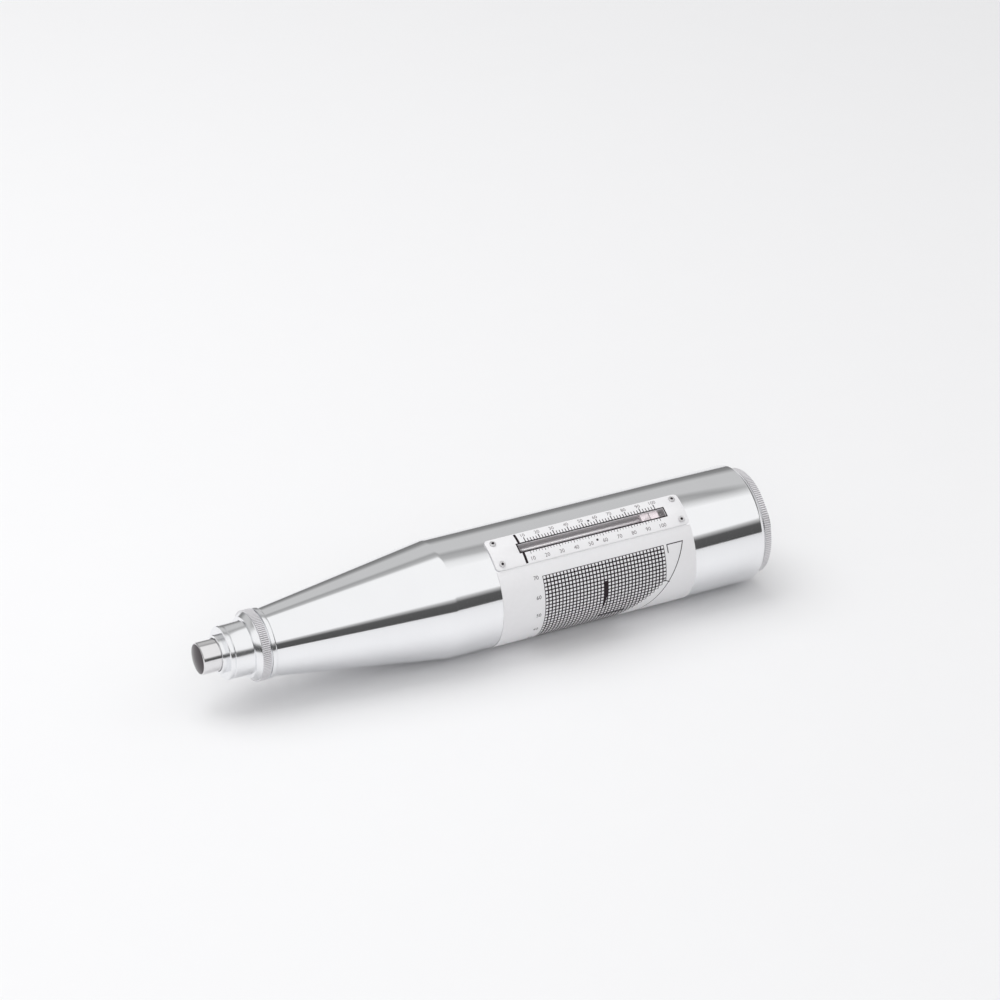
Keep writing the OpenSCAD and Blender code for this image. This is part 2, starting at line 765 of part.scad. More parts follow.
// Bush in the wall that guides the push button
module button_bush() {
    color([0.78, 0.79, 0.81]) towards_button(button_z) turned([
        [bush_bore_r, bush_floor_r], [bush_r, bush_floor_r], [bush_r, bush_top_r],
        [lip_r, bush_top_r], [lip_r, bush_top_r - lip_t], [bush_bore_r, bush_top_r - lip_t]
    ]);
}

// Domed button whose stem stops the disk when it is pressed
module push_button() {
    flange_z = button_flange_top - button_flange_t;
    color([0.74, 0.75, 0.77]) towards_button(button_z) difference() {
        union() {
            translate([0, 0, flange_z]) cylinder(r = button_flange_r, h = button_flange_t);
            translate([0, 0, flange_z]) cylinder(r = button_r, h = dome_axis_r - flange_z);
            intersection() {
                translate([0, 0, dome_axis_r]) sphere(dome_r);
                translate([0, 0, flange_z]) cylinder(r = button_r, h = 2 * button_d);
            }
            translate([0, 0, stem_tip_r]) cylinder(r = stem_r, h = dome_axis_r - stem_tip_r);
        }
        difference() {
            translate([0, 0, flange_z - cut])
                cylinder(r = button_cavity_r, h = button_cavity_top - flange_z + cut);
            translate([0, 0, stem_tip_r]) cylinder(r = stem_r, h = button_d);
        }
    }
}

// Spring that lifts the button
module button_spring() {
    z0 = bush_floor_r + slide_gap;
    z1 = button_cavity_top - slide_gap;
    color([0.45, 0.45, 0.48]) towards_button(button_z)
        wound_wire(button_coil_r, button_wire_d, z0, z1, button_turns);
}

lay_down() housing();
lay_down() front_cap();
lay_down() felt_washer();
lay_down() split_ring();
lay_down() spring_seat();
lay_down() plunger();
lay_down() buffer_spring();
lay_down() guide_bar();
lay_down() guide_disk();
lay_down() pawl_pin();
lay_down() hammer_mass();
lay_down() impact_spring();
lay_down() pawl();
lay_down() pawl_spring();
lay_down() return_spring();
lay_down() rear_cover();
lay_down() trip_screw();
lay_down() lock_nut();
lay_down() scale_plate();
lay_down() scale_window();
lay_down() scale_screws();
lay_down() window_pins();
lay_down() chart_label();
lay_down() rider_rod();
lay_down() rod_blocks();
lay_down() rider();
lay_down() rider_leaf();
lay_down() button_bush();
lay_down() push_button();
lay_down() button_spring();
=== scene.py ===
"""Dresses the concrete test hammer: polished casing, printed scale, chart label and stage.

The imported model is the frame. Polished pieces are turned again here as smooth meshes,
small bright pieces are merged copies of their nodes, and the print is flat ink that is
laid on the barrel. All lengths are in metres.
"""
import json
import math

import bpy
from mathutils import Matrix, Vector

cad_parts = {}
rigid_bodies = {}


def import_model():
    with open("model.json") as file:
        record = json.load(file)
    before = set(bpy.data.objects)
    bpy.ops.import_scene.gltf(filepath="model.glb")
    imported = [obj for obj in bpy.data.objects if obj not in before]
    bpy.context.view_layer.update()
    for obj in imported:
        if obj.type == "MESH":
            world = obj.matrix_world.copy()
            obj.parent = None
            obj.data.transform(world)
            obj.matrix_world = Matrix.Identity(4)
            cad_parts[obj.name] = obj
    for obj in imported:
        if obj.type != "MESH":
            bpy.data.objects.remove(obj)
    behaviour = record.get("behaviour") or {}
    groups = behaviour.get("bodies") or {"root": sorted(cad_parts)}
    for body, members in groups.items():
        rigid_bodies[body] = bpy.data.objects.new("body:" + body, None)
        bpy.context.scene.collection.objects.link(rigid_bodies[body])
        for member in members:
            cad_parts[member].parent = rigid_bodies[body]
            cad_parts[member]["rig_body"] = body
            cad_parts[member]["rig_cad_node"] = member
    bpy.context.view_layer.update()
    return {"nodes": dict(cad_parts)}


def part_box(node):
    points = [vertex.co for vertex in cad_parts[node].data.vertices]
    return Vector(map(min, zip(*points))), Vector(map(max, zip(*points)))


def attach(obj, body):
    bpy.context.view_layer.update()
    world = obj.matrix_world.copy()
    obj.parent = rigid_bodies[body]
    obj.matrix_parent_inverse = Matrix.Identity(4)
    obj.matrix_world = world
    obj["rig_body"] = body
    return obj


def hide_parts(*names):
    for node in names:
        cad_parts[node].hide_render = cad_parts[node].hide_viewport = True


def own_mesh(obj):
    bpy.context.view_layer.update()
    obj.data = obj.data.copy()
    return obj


bl_info = {
    "name": "Concrete test hammer",
    "version": (1, 0, 0),
    "blender": (4, 5, 0),
    "location": "View3D > Sidebar > Test hammer",
    "description": "Builds the finished look of a rebound hammer over its packed frame",
    "category": "Object",
}

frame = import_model()
NODES = frame["nodes"]
MM = 0.001

# The barrel's axis, and the places along it, all read from the frame
HOUSING_LOW, HOUSING_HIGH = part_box("housing")
BODY_R = (HOUSING_HIGH.z - HOUSING_LOW.z) / 2
AXIS_Z = HOUSING_LOW.z + BODY_R
CAP_LOW, CAP_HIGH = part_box("front_cap")
PLUNGER_LOW, PLUNGER_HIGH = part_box("plunger")
COVER_LOW, COVER_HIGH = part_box("rear_cover")
PLATE_LOW, PLATE_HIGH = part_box("scale_plate")
WINDOW_LOW, WINDOW_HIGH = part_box("scale_window")
RIDER_LOW, RIDER_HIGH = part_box("rider")
LABEL_LOW, LABEL_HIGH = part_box("chart_label")
BUSH_LOW, BUSH_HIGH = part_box("button_bush")

CAP_BOSS_LEN = 2.6 * MM
CAP_FRONT_X = CAP_LOW.x + CAP_BOSS_LEN
CAP_RING_R = (CAP_HIGH.z - CAP_LOW.z) / 2
COVER_R = (COVER_HIGH.z - COVER_LOW.z) / 2
WALL = 5.5 * MM
BORE_R = BODY_R - WALL
THREAD_R = BORE_R + 1.5 * MM

# The scale is rolled from the top towards the viewer's side
WINDOW_MID = (WINDOW_LOW + WINDOW_HIGH) / 2
SCALE_ANGLE = math.atan2(-WINDOW_MID.y, WINDOW_MID.z - AXIS_Z)
PLATE_T = 0.8 * MM
PLATE_TOP_R = BODY_R + PLATE_T
PLATE_HALF_W = 8.35 * MM
PLATE_HALF_ARC = PLATE_TOP_R * math.asin(PLATE_HALF_W / PLATE_TOP_R)
OPENING_HALF_W = 2.05 * MM
FIRST_READING = 10
LAST_READING = 100
LABEL_T = 0.15 * MM
LABEL_TOP_R = BODY_R + 0.2 * MM
INK_LIFT = 0.03 * MM

# Fineness of the meshes and of the relief in the finishes
ROUND_SIDES = 192
PLUNGER_SIDES = 128
HOLE_SIDES = 64
DOT_SIDES = 20
TURNED_MERGE = 0.002 * MM
NODE_MERGE = 0.001 * MM
SHEET_STEP = 1.2 * MM
SMOOTH_DEGREES = 30
RELIEF = 0.02 * MM

# Turned metal: its colour, lines along a metre, and how rough, uneven and deep they are
TURNED = {
    "polished_aluminium": dict(color="aluminium", lines=2600.0, roughness=0.035, spread=0.07, bump=0.02),
    "turned_aluminium": dict(color="aluminium", lines=3600.0, roughness=0.10, spread=0.14, bump=0.05),
    "knurled_aluminium": dict(
        color="knurl", lines=900.0, roughness=0.40, spread=0.10, bump=0.03, metallic=0.55),
    # The groove row's darker colour is painted shade between the knurl's teeth.
    "knurl_groove_shade": dict(
        color="groove", lines=900.0, roughness=0.44, spread=0.12, bump=0.03, metallic=0.55),
    "satin_steel": dict(color="steel", lines=1500.0, roughness=0.36, spread=0.12, bump=0.03),
    "ground_steel": dict(color="steel", lines=4200.0, roughness=0.08, spread=0.14, bump=0.04),
    "bright_steel": dict(color="steel", lines=1200.0, roughness=0.14, spread=0.10, bump=0.02),
    "dark_steel": dict(color="dark_steel", lines=1800.0, roughness=0.28, spread=0.12, bump=0.05),
    "hardened_steel": dict(color="hardened_steel", lines=5200.0, roughness=0.10, spread=0.14, bump=0.03),
    "turned_brass": dict(color="brass", lines=2200.0, roughness=0.20, spread=0.12, bump=0.05),
}

# Print, film, felt and even metal: the colour, and the grain's scale, amount and roughness
MOTTLED = {
    "drawn_rod": dict(color="rod", scale=1400.0, amount=0.12, roughness=0.05, metallic=1.0),
    # The milled slot row is a matt finish, and its grey, darker than the casing's aluminium, is painted
    # shade of the slot.
    "milled_slot_and_shade": dict(color="slot_wall", scale=900.0, amount=0.15, roughness=0.6, bump=0.05),
    "black_steel": dict(color="black_steel", scale=1500.0, amount=0.25, roughness=0.32, bump=0.03),
    "scale_film": dict(color="film", scale=700.0, amount=0.04, roughness=0.34, bump=0.03),
    "chart_film": dict(color="film", scale=500.0, amount=0.05, roughness=0.42, bump=0.05),
    "dark_ink": dict(color="ink", scale=2500.0, amount=0.9, roughness=0.5, specular=0.2),
    "grey_ink": dict(color="grey_ink", scale=2500.0, amount=0.5, roughness=0.5, specular=0.2),
    "pressed_felt": dict(
        color="felt", scale=1800.0, amount=0.7, roughness=0.95, bump=0.8, relief=0.3 * MM),
    "pale_rider": dict(color="rider", scale=1200.0, amount=0.06, roughness=0.35, bump=0.05),
    "pale_floor": dict(color="floor", scale=40.0, amount=0.01, roughness=0.7),
}

# Tone of the surroundings by height, in front of the hammer and behind it
FRONT_TONES = ((0.0, 0.085), (0.26, 0.10), (0.36, 0.55), (0.41, 1.0), (1.0, 1.0))
BEHIND_TONES = (
    (0.0, 0.20), (0.25, 0.28), (0.45, 0.60), (0.78, 0.60), (0.84, 0.38), (0.90, 0.48),
    (0.94, 1.0), (1.0, 1.0))

# Camera's sensor in millimetres, and how far it sees in metres
SENSOR_W = 36
VIEW_RANGE = 40

# Soft lamps: name, place, lean and turn in degrees, size and power
LAMPS = (
    ("top_softbox", (-0.5, 0.5, 1.5), (-18, -18), 1.6, 12),
    ("front_fill", (-0.7, -1.7, 0.75), (66, -20), 1.2, 6),
)


class HammerSizes(bpy.types.PropertyGroup):
    """Sizes of the details that are added over the frame"""

    cap_teeth: bpy.props.IntProperty(
        name="Cap teeth", description="Teeth in the cap's knurl", default=108, min=24)
    cover_teeth: bpy.props.IntProperty(
        name="Cover teeth", description="Teeth in the rear cover's knurl", default=148, min=24)
    knurl_depth: bpy.props.FloatProperty(
        name="Knurl depth", description="Depth of a tooth", default=0.45 * MM, unit="LENGTH")
    unit_len: bpy.props.FloatProperty(
        name="Scale unit", description="Length of one unit of the scale",
        default=0.75 * MM, unit="LENGTH", precision=5)
    ten_lead: bpy.props.FloatProperty(
        name="First reading", description="From the window's front end to the first reading",
        default=4.7 * MM, unit="LENGTH", precision=5)
    tick_w: bpy.props.FloatProperty(
        name="Tick width", description="Width of a scale tick", default=0.38 * MM, unit="LENGTH")
    digit_size: bpy.props.FloatProperty(
        name="Digit size", description="Height of the scale's digits", default=2.6 * MM, unit="LENGTH")
    chart_columns: bpy.props.IntProperty(
        name="Chart columns", description="Columns of the chart's grid", default=35, min=2)
    chart_cell: bpy.props.FloatProperty(
        name="Chart cell", description="Side of one cell of the chart", default=1.805 * MM, unit="LENGTH")
    chart_line_w: bpy.props.FloatProperty(
        name="Chart line", description="Width of the chart's lines", default=0.60 * MM, unit="LENGTH")


class HammerFinish(bpy.types.PropertyGroup):
    """Colours of the hammer's finishes and of the floor"""

    aluminium: bpy.props.FloatVectorProperty(
        name="Aluminium", description="Polished casing", subtype="COLOR", default=(0.90, 0.905, 0.92))
    # Painted shade: the grooves' darker tone stands in for the shade between the teeth.
    groove: bpy.props.FloatVectorProperty(
        name="Knurl groove", description="Dulled grooves between the teeth", subtype="COLOR",
        default=(0.64, 0.63, 0.65))
    knurl: bpy.props.FloatVectorProperty(
        name="Knurl", description="Matt tops of the teeth", subtype="COLOR", default=(0.92, 0.91, 0.93))
    steel: bpy.props.FloatVectorProperty(
        name="Steel", description="Ground plunger and bars", subtype="COLOR", default=(0.80, 0.79, 0.80))
    dark_steel: bpy.props.FloatVectorProperty(
        name="Dark steel", description="Mass, pawl and springs", subtype="COLOR",
        default=(0.36, 0.36, 0.38))
    brass: bpy.props.FloatVectorProperty(
        name="Brass", description="Bushes and the guide disk", subtype="COLOR", default=(0.70, 0.55, 0.30))
    film: bpy.props.FloatVectorProperty(
        name="Label film", description="White of the label and the scale", subtype="COLOR",
        default=(0.80, 0.795, 0.81))
    ink: bpy.props.FloatVectorProperty(
        name="Ink", description="Dark print", subtype="COLOR", default=(0.016, 0.009, 0.013))
    grey_ink: bpy.props.FloatVectorProperty(
        name="Grey ink", description="Paler print of the scale's digits", subtype="COLOR",
        default=(0.17, 0.15, 0.16))
    rod: bpy.props.FloatVectorProperty(
        name="Rod", description="Bright rod under the window", subtype="COLOR", default=(0.97, 0.96, 0.97))
    # Painted shade: the slot wall's grey stands in for the shade inside the slot.
    slot_wall: bpy.props.FloatVectorProperty(
        name="Slot wall", description="Milled wall of the scale's slot", subtype="COLOR",
        default=(0.64, 0.60, 0.62))
    # The domed nose is given a near-black steel colour.
    hardened_steel: bpy.props.FloatVectorProperty(
        name="Hardened steel", description="Dark domed nose of the plunger", subtype="COLOR",
        default=(0.085, 0.075, 0.080))
    black_steel: bpy.props.FloatVectorProperty(
        name="Blackened steel", description="Pins beside the window", subtype="COLOR",
        default=(0.022, 0.018, 0.020))
    felt: bpy.props.FloatVectorProperty(
        name="Felt", description="Seal round the plunger", subtype="COLOR", default=(0.20, 0.19, 0.17))
    rider: bpy.props.FloatVectorProperty(
        name="Rider", description="Pale rider", subtype="COLOR", default=(0.90, 0.81, 0.84))
    acrylic: bpy.props.FloatVectorProperty(
        name="Acrylic", description="Clear window", subtype="COLOR", default=(0.86, 0.84, 0.86))
    floor: bpy.props.FloatVectorProperty(
        name="Floor", description="Pale floor", subtype="COLOR", default=(0.86, 0.86, 0.87))


class HammerStage(bpy.types.PropertyGroup):
    """Camera and floor"""

    azimuth: bpy.props.FloatProperty(
        name="Azimuth", description="Camera's angle round the hammer", subtype="ANGLE",
        default=math.radians(-27.36))
    elevation: bpy.props.FloatProperty(
        name="Elevation", description="Camera's angle above the floor", subtype="ANGLE",
        default=math.radians(28.461))
    distance: bpy.props.FloatProperty(
        name="Distance", description="Camera's distance from its aim", default=2.12088, unit="LENGTH")
    aim_x: bpy.props.FloatProperty(
        name="Aim along", description="Aim's place along the hammer", default=0.011316, unit="LENGTH")
    aim_rise: bpy.props.FloatProperty(
        name="Aim rise", description="Aim's height over the axis", default=0.043045, unit="LENGTH")
    lens: bpy.props.FloatProperty(
        name="Lens", description="Focal length in millimetres on a 36 mm sensor", default=167.4)
    floor_size: bpy.props.FloatProperty(
        name="Floor size", description="Side of the floor, which reaches past every view",
        default=24, unit="LENGTH")


def sizes():
    return bpy.context.scene.hammer_sizes


def finish():
    return bpy.context.scene.hammer_finish


def deselect():
    """Deselects everything, the nodes of the frame included."""
    bpy.ops.object.select_all(action="DESELECT")


def pick(obj):
    """Selects one object alone and makes it the active one."""
    deselect()
    obj.select_set(True)
    bpy.context.view_layer.objects.active = obj


def settle(name, scale=(1, 1, 1)):
    """Names and sizes the object that was just added, and puts its place into its mesh."""
    piece = bpy.context.object
    piece.name = name
    piece.scale = scale
    bpy.ops.object.transform_apply(location=True, rotation=True, scale=True)
    return piece


def open_mesh(obj):
    """Opens a piece's mesh for editing, with all of it selected."""
    pick(obj)
    bpy.ops.object.mode_set(mode="EDIT")
    bpy.ops.mesh.select_all(action="SELECT")


def open_chosen(obj, kind, chosen):
    """Opens a piece's mesh with only those points or faces selected that pass a test."""
    open_mesh(obj)
    bpy.ops.mesh.select_mode(type=kind)
    bpy.ops.mesh.select_all(action="DESELECT")
    close_mesh()
    for part in obj.data.vertices if kind == "VERT" else obj.data.polygons:
        part.select = chosen(part)
    bpy.ops.object.mode_set(mode="EDIT")


def close_mesh():
    bpy.ops.object.mode_set(mode="OBJECT")


def delete_faces(obj, chosen):
    """Deletes the faces that pass a test."""
    open_chosen(obj, "FACE", chosen)
    bpy.ops.mesh.delete(type="FACE")
    bpy.ops.mesh.select_mode(type="VERT")
    close_mesh()


def reshape(obj, kind, **settings):
    """Adds a modifier with its settings and applies it."""
    pick(obj)
    change = obj.modifiers.new(kind.lower(), kind)
    for name, setting in settings.items():
        setattr(change, name, setting)
    bpy.ops.object.modifier_apply(modifier=change.name)


def cut_away(piece, cutter):
    """Cuts one piece out of another and removes the cutter."""
    reshape(piece, "BOOLEAN", operation="DIFFERENCE", solver="EXACT", object=cutter)
    bpy.data.objects.remove(cutter, do_unlink=True)


def join(pieces, name):
    """Joins pieces into one object and names it."""
    deselect()
    for piece in pieces:
        piece.select_set(True)
    bpy.context.view_layer.objects.active = pieces[0]
    bpy.ops.object.join()
    joined = bpy.context.object
    joined.name = name
    joined.data.name = name
    return joined


def finish_piece(obj, material, body, slot, *nodes):
    """Gives a piece its material and its body, and hides the nodes that it stands for. Its slot is not
    used.
    """
    obj.data.materials.clear()
    obj.data.materials.append(material)
    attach(obj, body)
    if nodes:
        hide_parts(*nodes)
    return obj


def paint_faces(obj, material, chosen):
    """Gives a further material to the faces that pass a test."""
    obj.data.materials.append(material)
    index = len(obj.data.materials) - 1
    for face in obj.data.polygons:
        if chosen(face):
            face.material_index = index


def smooth_by_angle(obj, degrees):
    pick(obj)
    bpy.ops.object.shade_smooth_by_angle(angle=math.radians(degrees))


def turn_piece(name, outline, sides=ROUND_SIDES, closed_ends=False):
    """Turns an outline of (x, radius) about the axis by extruding and scaling a ring."""
    deselect()
    x, r = outline[0]
    bpy.ops.mesh.primitive_circle_add(
        vertices=sides, radius=r, location=(x, 0, AXIS_Z), rotation=(0, math.pi / 2, 0))
    piece = settle(name)
    open_mesh(piece)
    if closed_ends:
        bpy.ops.mesh.edge_face_add()
        bpy.ops.mesh.select_all(action="SELECT")
    for (xa, ra), (xb, rb) in zip(outline, outline[1:]):
        bpy.ops.mesh.extrude_edges_move(TRANSFORM_OT_translate={"value": (xb - xa, 0, 0)})
        ratio = rb / ra
        bpy.ops.transform.resize(value=(1, ratio, ratio), center_override=(xb, 0, AXIS_Z))
    if closed_ends:
        bpy.ops.mesh.edge_face_add()
    bpy.ops.mesh.select_all(action="SELECT")
    bpy.ops.mesh.remove_doubles(threshold=TURNED_MERGE)
    bpy.ops.mesh.normals_make_consistent(inside=False)
    close_mesh()
    return piece


def knurl_core(r):
    """Radius of the core under a knurl whose teeth reach out to r."""
    return r - 1.5 * sizes().knurl_depth


def knurl_band(name, x0, x1, r, teeth):
    """Makes a straight-knurled ring: a turned ring whose every third outer point is pulled inwards."""
    depth = sizes().knurl_depth
    sides = 3 * teeth
    inner_r = knurl_core(r)
    outline = [(x0, inner_r), (x0, r), (x1, r), (x1, inner_r), (x0, inner_r)]
    band = turn_piece(name, outline, sides)

    def in_groove(vertex):
        y, z = vertex.co.y, vertex.co.z - AXIS_Z
        step = round(math.atan2(z, y) * sides / math.tau)
        return step % 3 == 1 and math.hypot(y, z) > r - depth / 2

    open_chosen(band, "VERT", in_groove)
    pull = (r - depth) / r
    bpy.ops.transform.resize(value=(1, pull, pull), center_override=(x0, 0, AXIS_Z))
    close_mesh()
    return band


def knurled_piece(name, node, outline, x0, x1, r, teeth):
    """Turns a piece and adds its knurled ring."""
    body = turn_piece(name, outline)
    band = knurl_band(name + "_knurl", x0, x1, r, teeth)
    smooth_by_angle(body, 22)
    piece = join([body, band], name)
    return finish_piece(piece, surface("turned_aluminium"), "casing", "trim_aluminium", node)


def paint_knurl(obj, x0, x1, r):
    """Gives a knurl its matt teeth, and paints its grooves a darker tone as painted shade."""
    tooth_top = 0.2
    groove_floor = 0.8

    def fall(face):
        return (r - math.hypot(face.center.y, face.center.z - AXIS_Z)) / sizes().knurl_depth

    def on_tooth(face):
        return x0 < face.center.x < x1 and fall(face) < tooth_top

    def in_groove(face):
        return x0 < face.center.x < x1 and tooth_top < fall(face) < groove_floor

    paint_faces(obj, surface("knurled_aluminium"), on_tooth)
    # Painted shade: the groove faces get the darker groove colour.
    paint_faces(obj, surface("knurl_groove_shade"), in_groove)


def merged_copy(node, material, body, slot):
    """Copies a node, merges its loose triangles and shades the round faces smoothly."""
    pick(NODES[node])
    bpy.ops.object.duplicate()
    copy = bpy.context.object
    copy.name = node + "_piece"
    copy.parent = None
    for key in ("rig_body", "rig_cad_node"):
        if key in copy:
            del copy[key]
    open_mesh(copy)
    bpy.ops.mesh.remove_doubles(threshold=NODE_MERGE)
    close_mesh()
    smooth_by_angle(copy, SMOOTH_DEGREES)
    return finish_piece(copy, material, body, slot, node)


def node_arc(node):
    """Lowest and highest angle that a node takes up round the barrel, from the top towards the viewer."""
    angles = [math.atan2(-v.co.y, v.co.z - AXIS_Z) for v in NODES[node].data.vertices]
    return min(angles), max(angles)


def top_radius(node):
    """Largest distance of a node from the barrel's axis."""
    return max(math.hypot(v.co.y, v.co.z - AXIS_Z) for v in NODES[node].data.vertices)


def barrel_place(x, r, angle):
    """Place at an angle round the barrel, from the top towards the viewer."""
    return x, -r * math.sin(angle), AXIS_Z + r * math.cos(angle)


# Flat ink is drawn with x along the hammer and y up round the barrel, from the scale's centre

def flat_bar(x0, x1, y0, y1, cuts=0):
    """Makes a flat bar of ink, with cuts across it so that it can bend."""
    deselect()
    bpy.ops.mesh.primitive_plane_add(size=1, location=((x0 + x1) / 2, (y0 + y1) / 2, 0))
    bar = settle("bar", (x1 - x0, y1 - y0, 1))
    if cuts:
        open_mesh(bar)
        bpy.ops.mesh.subdivide(number_cuts=cuts)
        close_mesh()
    return bar


def flat_row(bar, count, step):
    """Repeats a bar along the hammer."""
    reshape(bar, "ARRAY", count=count, use_relative_offset=False, use_constant_offset=True,
            constant_offset_displace=(step, 0, 0))
    return bar


def flat_frame(x0, x1, y0, y1, line_w, cuts):
    """Makes a frame of four flat bars round a window."""
    return [
        flat_bar(x0 - line_w, x1 + line_w, y1, y1 + line_w),
        flat_bar(x0 - line_w, x1 + line_w, y0 - line_w, y0),
        flat_bar(x0 - line_w, x0, y0, y1, cuts),
        flat_bar(x1, x1 + line_w, y0, y1, cuts),
    ]


def flat_dot(x, y, rise, r):
    """Makes a flat round dot, raised over the print by its rise."""
    deselect()
    bpy.ops.mesh.primitive_circle_add(vertices=DOT_SIDES, radius=r, fill_type="NGON", location=(x, y, rise))
    return settle("dot")


def flat_lattice(x0, x1, y0, y1, columns, rows, line_w, inside):
    """Makes a flat lattice of lines: a grid whose cells are inset and taken out.

    Only the cells whose centre is inside stay.
    """
    deselect()
    bpy.ops.mesh.primitive_grid_add(
        x_subdivisions=columns, y_subdivisions=rows, size=1,
        location=((x0 + x1) / 2, (y0 + y1) / 2, 0))
    lattice = settle("lattice", (x1 - x0, y1 - y0, 1))
    delete_faces(lattice, lambda face: not inside(face.center.x, face.center.y))
    open_mesh(lattice)
    bpy.ops.mesh.inset(thickness=line_w / 2, use_individual=True)
    bpy.ops.mesh.delete(type="FACE")
    close_mesh()
    return lattice


def flat_number(number, x, y, size):
    """Sets a number, centred at its place, as a mesh."""
    deselect()
    bpy.ops.object.text_add(location=(x, y, 0))
    text = bpy.context.object.data
    text.body = str(number)
    text.size = size
    text.align_x = "CENTER"
    text.align_y = "CENTER"
    text.resolution_u = 3
    bpy.ops.object.convert(target="MESH")
    return settle("number")


def lay_on_barrel(obj, radius):
    """Bends flat ink round the barrel, centred on the scale."""
    for vertex in obj.data.vertices:
        x, y, rise = vertex.co
        vertex.co = barrel_place(x, radius + rise, SCALE_ANGLE - y / radius)
    obj.data.update()
    return obj


def lay_print(ink, name, ink_finish, radius, slot):
    """Joins flat ink into one piece and lays it on the casing."""
    piece = lay_on_barrel(join(ink, name), radius + INK_LIFT)
    return finish_piece(piece, surface(ink_finish), "casing", slot)


def cut_across(normal, place):
    """Cuts the open mesh by a plane at its place along the normal."""
    bpy.ops.mesh.select_all(action="SELECT")
    bpy.ops.mesh.bisect(plane_co=[place * part for part in normal], plane_no=normal)


def curved_sheet(name, x0, x1, y0, y1, radius, thickness, corner_r=0.0, hole=None):
    """Bends a flat sheet round the barrel and gives it a thickness. A hole is (x0, x1, y0, y1)."""
    along = (1, 0, 0)
    round_about = (0, 1, 0)

    def in_hole(face):
        x, y, _ = face.center
        return hole[0] < x < hole[1] and hole[2] < y < hole[3]

    sheet = flat_bar(x0, x1, y0, y1)
    sheet.name = name
    open_mesh(sheet)
    if corner_r:
        bpy.ops.mesh.bevel(offset=corner_r, segments=6, affect="VERTICES")
    if hole:
        for normal, place in zip((along, along, round_about, round_about), hole):
            cut_across(normal, place)
    strips = max(2, round((y1 - y0) / SHEET_STEP))
    for i in range(1, strips):
        cut_across(round_about, y0 + (y1 - y0) * i / strips)
    close_mesh()
    if hole:
        delete_faces(sheet, in_hole)
    lay_on_barrel(sheet, radius)
    reshape(sheet, "SOLIDIFY", thickness=thickness, offset=-1)
    reshape(sheet, "BEVEL", width=thickness / 6, segments=2, limit_method="ANGLE",
            angle_limit=math.radians(40))
    smooth_by_angle(sheet, SMOOTH_DEGREES)
    return sheet


# Finishes: each is built once from its row in the tables, on one of two shader groups

GROUPS = {}
MATERIALS = {}


def add_node(tree, kind, values=None, **settings):
    """Adds a shader node with its settings and the values of its sockets."""
    node = tree.nodes.new("ShaderNode" + kind)
    for name, setting in settings.items():
        setattr(node, name, setting)
    for socket, value in (values or {}).items():
        node.inputs[socket].default_value = value
    return node


def new_group(name, values):
    """Starts a group that takes a colour and some values, and gives colour, roughness and height."""
    group = bpy.data.node_groups.new(name, "ShaderNodeTree")
    group.interface.new_socket(name="Color", in_out="INPUT", socket_type="NodeSocketColor")
    for label in values:
        group.interface.new_socket(name=label, in_out="INPUT", socket_type="NodeSocketFloat")
    group.interface.new_socket(name="Color", in_out="OUTPUT", socket_type="NodeSocketColor")
    for label in ("Roughness", "Height"):
        group.interface.new_socket(name=label, in_out="OUTPUT", socket_type="NodeSocketFloat")
    return group, group.nodes.new("NodeGroupInput"), group.nodes.new("NodeGroupOutput")


def turned_finish_group():
    """Fine lines round the axis, with faint handling marks, as colour, roughness and height."""
    group, given, result = new_group("Turned finish", ("Lines", "Roughness", "Spread"))
    link = group.links.new
    place = add_node(group, "TexCoord")
    split = add_node(group, "SeparateXYZ")
    link(place.outputs["Object"], split.inputs[0])
    along = add_node(group, "Math", operation="MULTIPLY")
    link(split.outputs["X"], along.inputs[0])
    link(given.outputs["Lines"], along.inputs[1])
    lines = add_node(group, "TexNoise", {"Scale": 1.0, "Detail": 3.0}, noise_dimensions="1D")
    link(along.outputs[0], lines.inputs["W"])
    marks = add_node(group, "TexNoise", {"Scale": 60.0, "Detail": 6.0})
    link(place.outputs["Object"], marks.inputs["Vector"])
    blend = add_node(group, "Mix", {"Factor": 0.5}, data_type="FLOAT")
    link(lines.outputs["Fac"], blend.inputs[2])
    link(marks.outputs["Fac"], blend.inputs[3])
    spread = add_node(group, "Math", operation="MULTIPLY_ADD")
    link(blend.outputs[0], spread.inputs[0])
    link(given.outputs["Spread"], spread.inputs[1])
    link(given.outputs["Roughness"], spread.inputs[2])
    shade = add_node(group, "MapRange", {"To Min": 0.94, "To Max": 1.03})
    link(blend.outputs[0], shade.inputs["Value"])
    tint = add_node(group, "VectorMath", operation="SCALE")
    link(given.outputs["Color"], tint.inputs[0])
    link(shade.outputs["Result"], tint.inputs["Scale"])
    link(tint.outputs[0], result.inputs["Color"])
    link(spread.outputs[0], result.inputs["Roughness"])
    link(lines.outputs["Fac"], result.inputs["Height"])
    return group


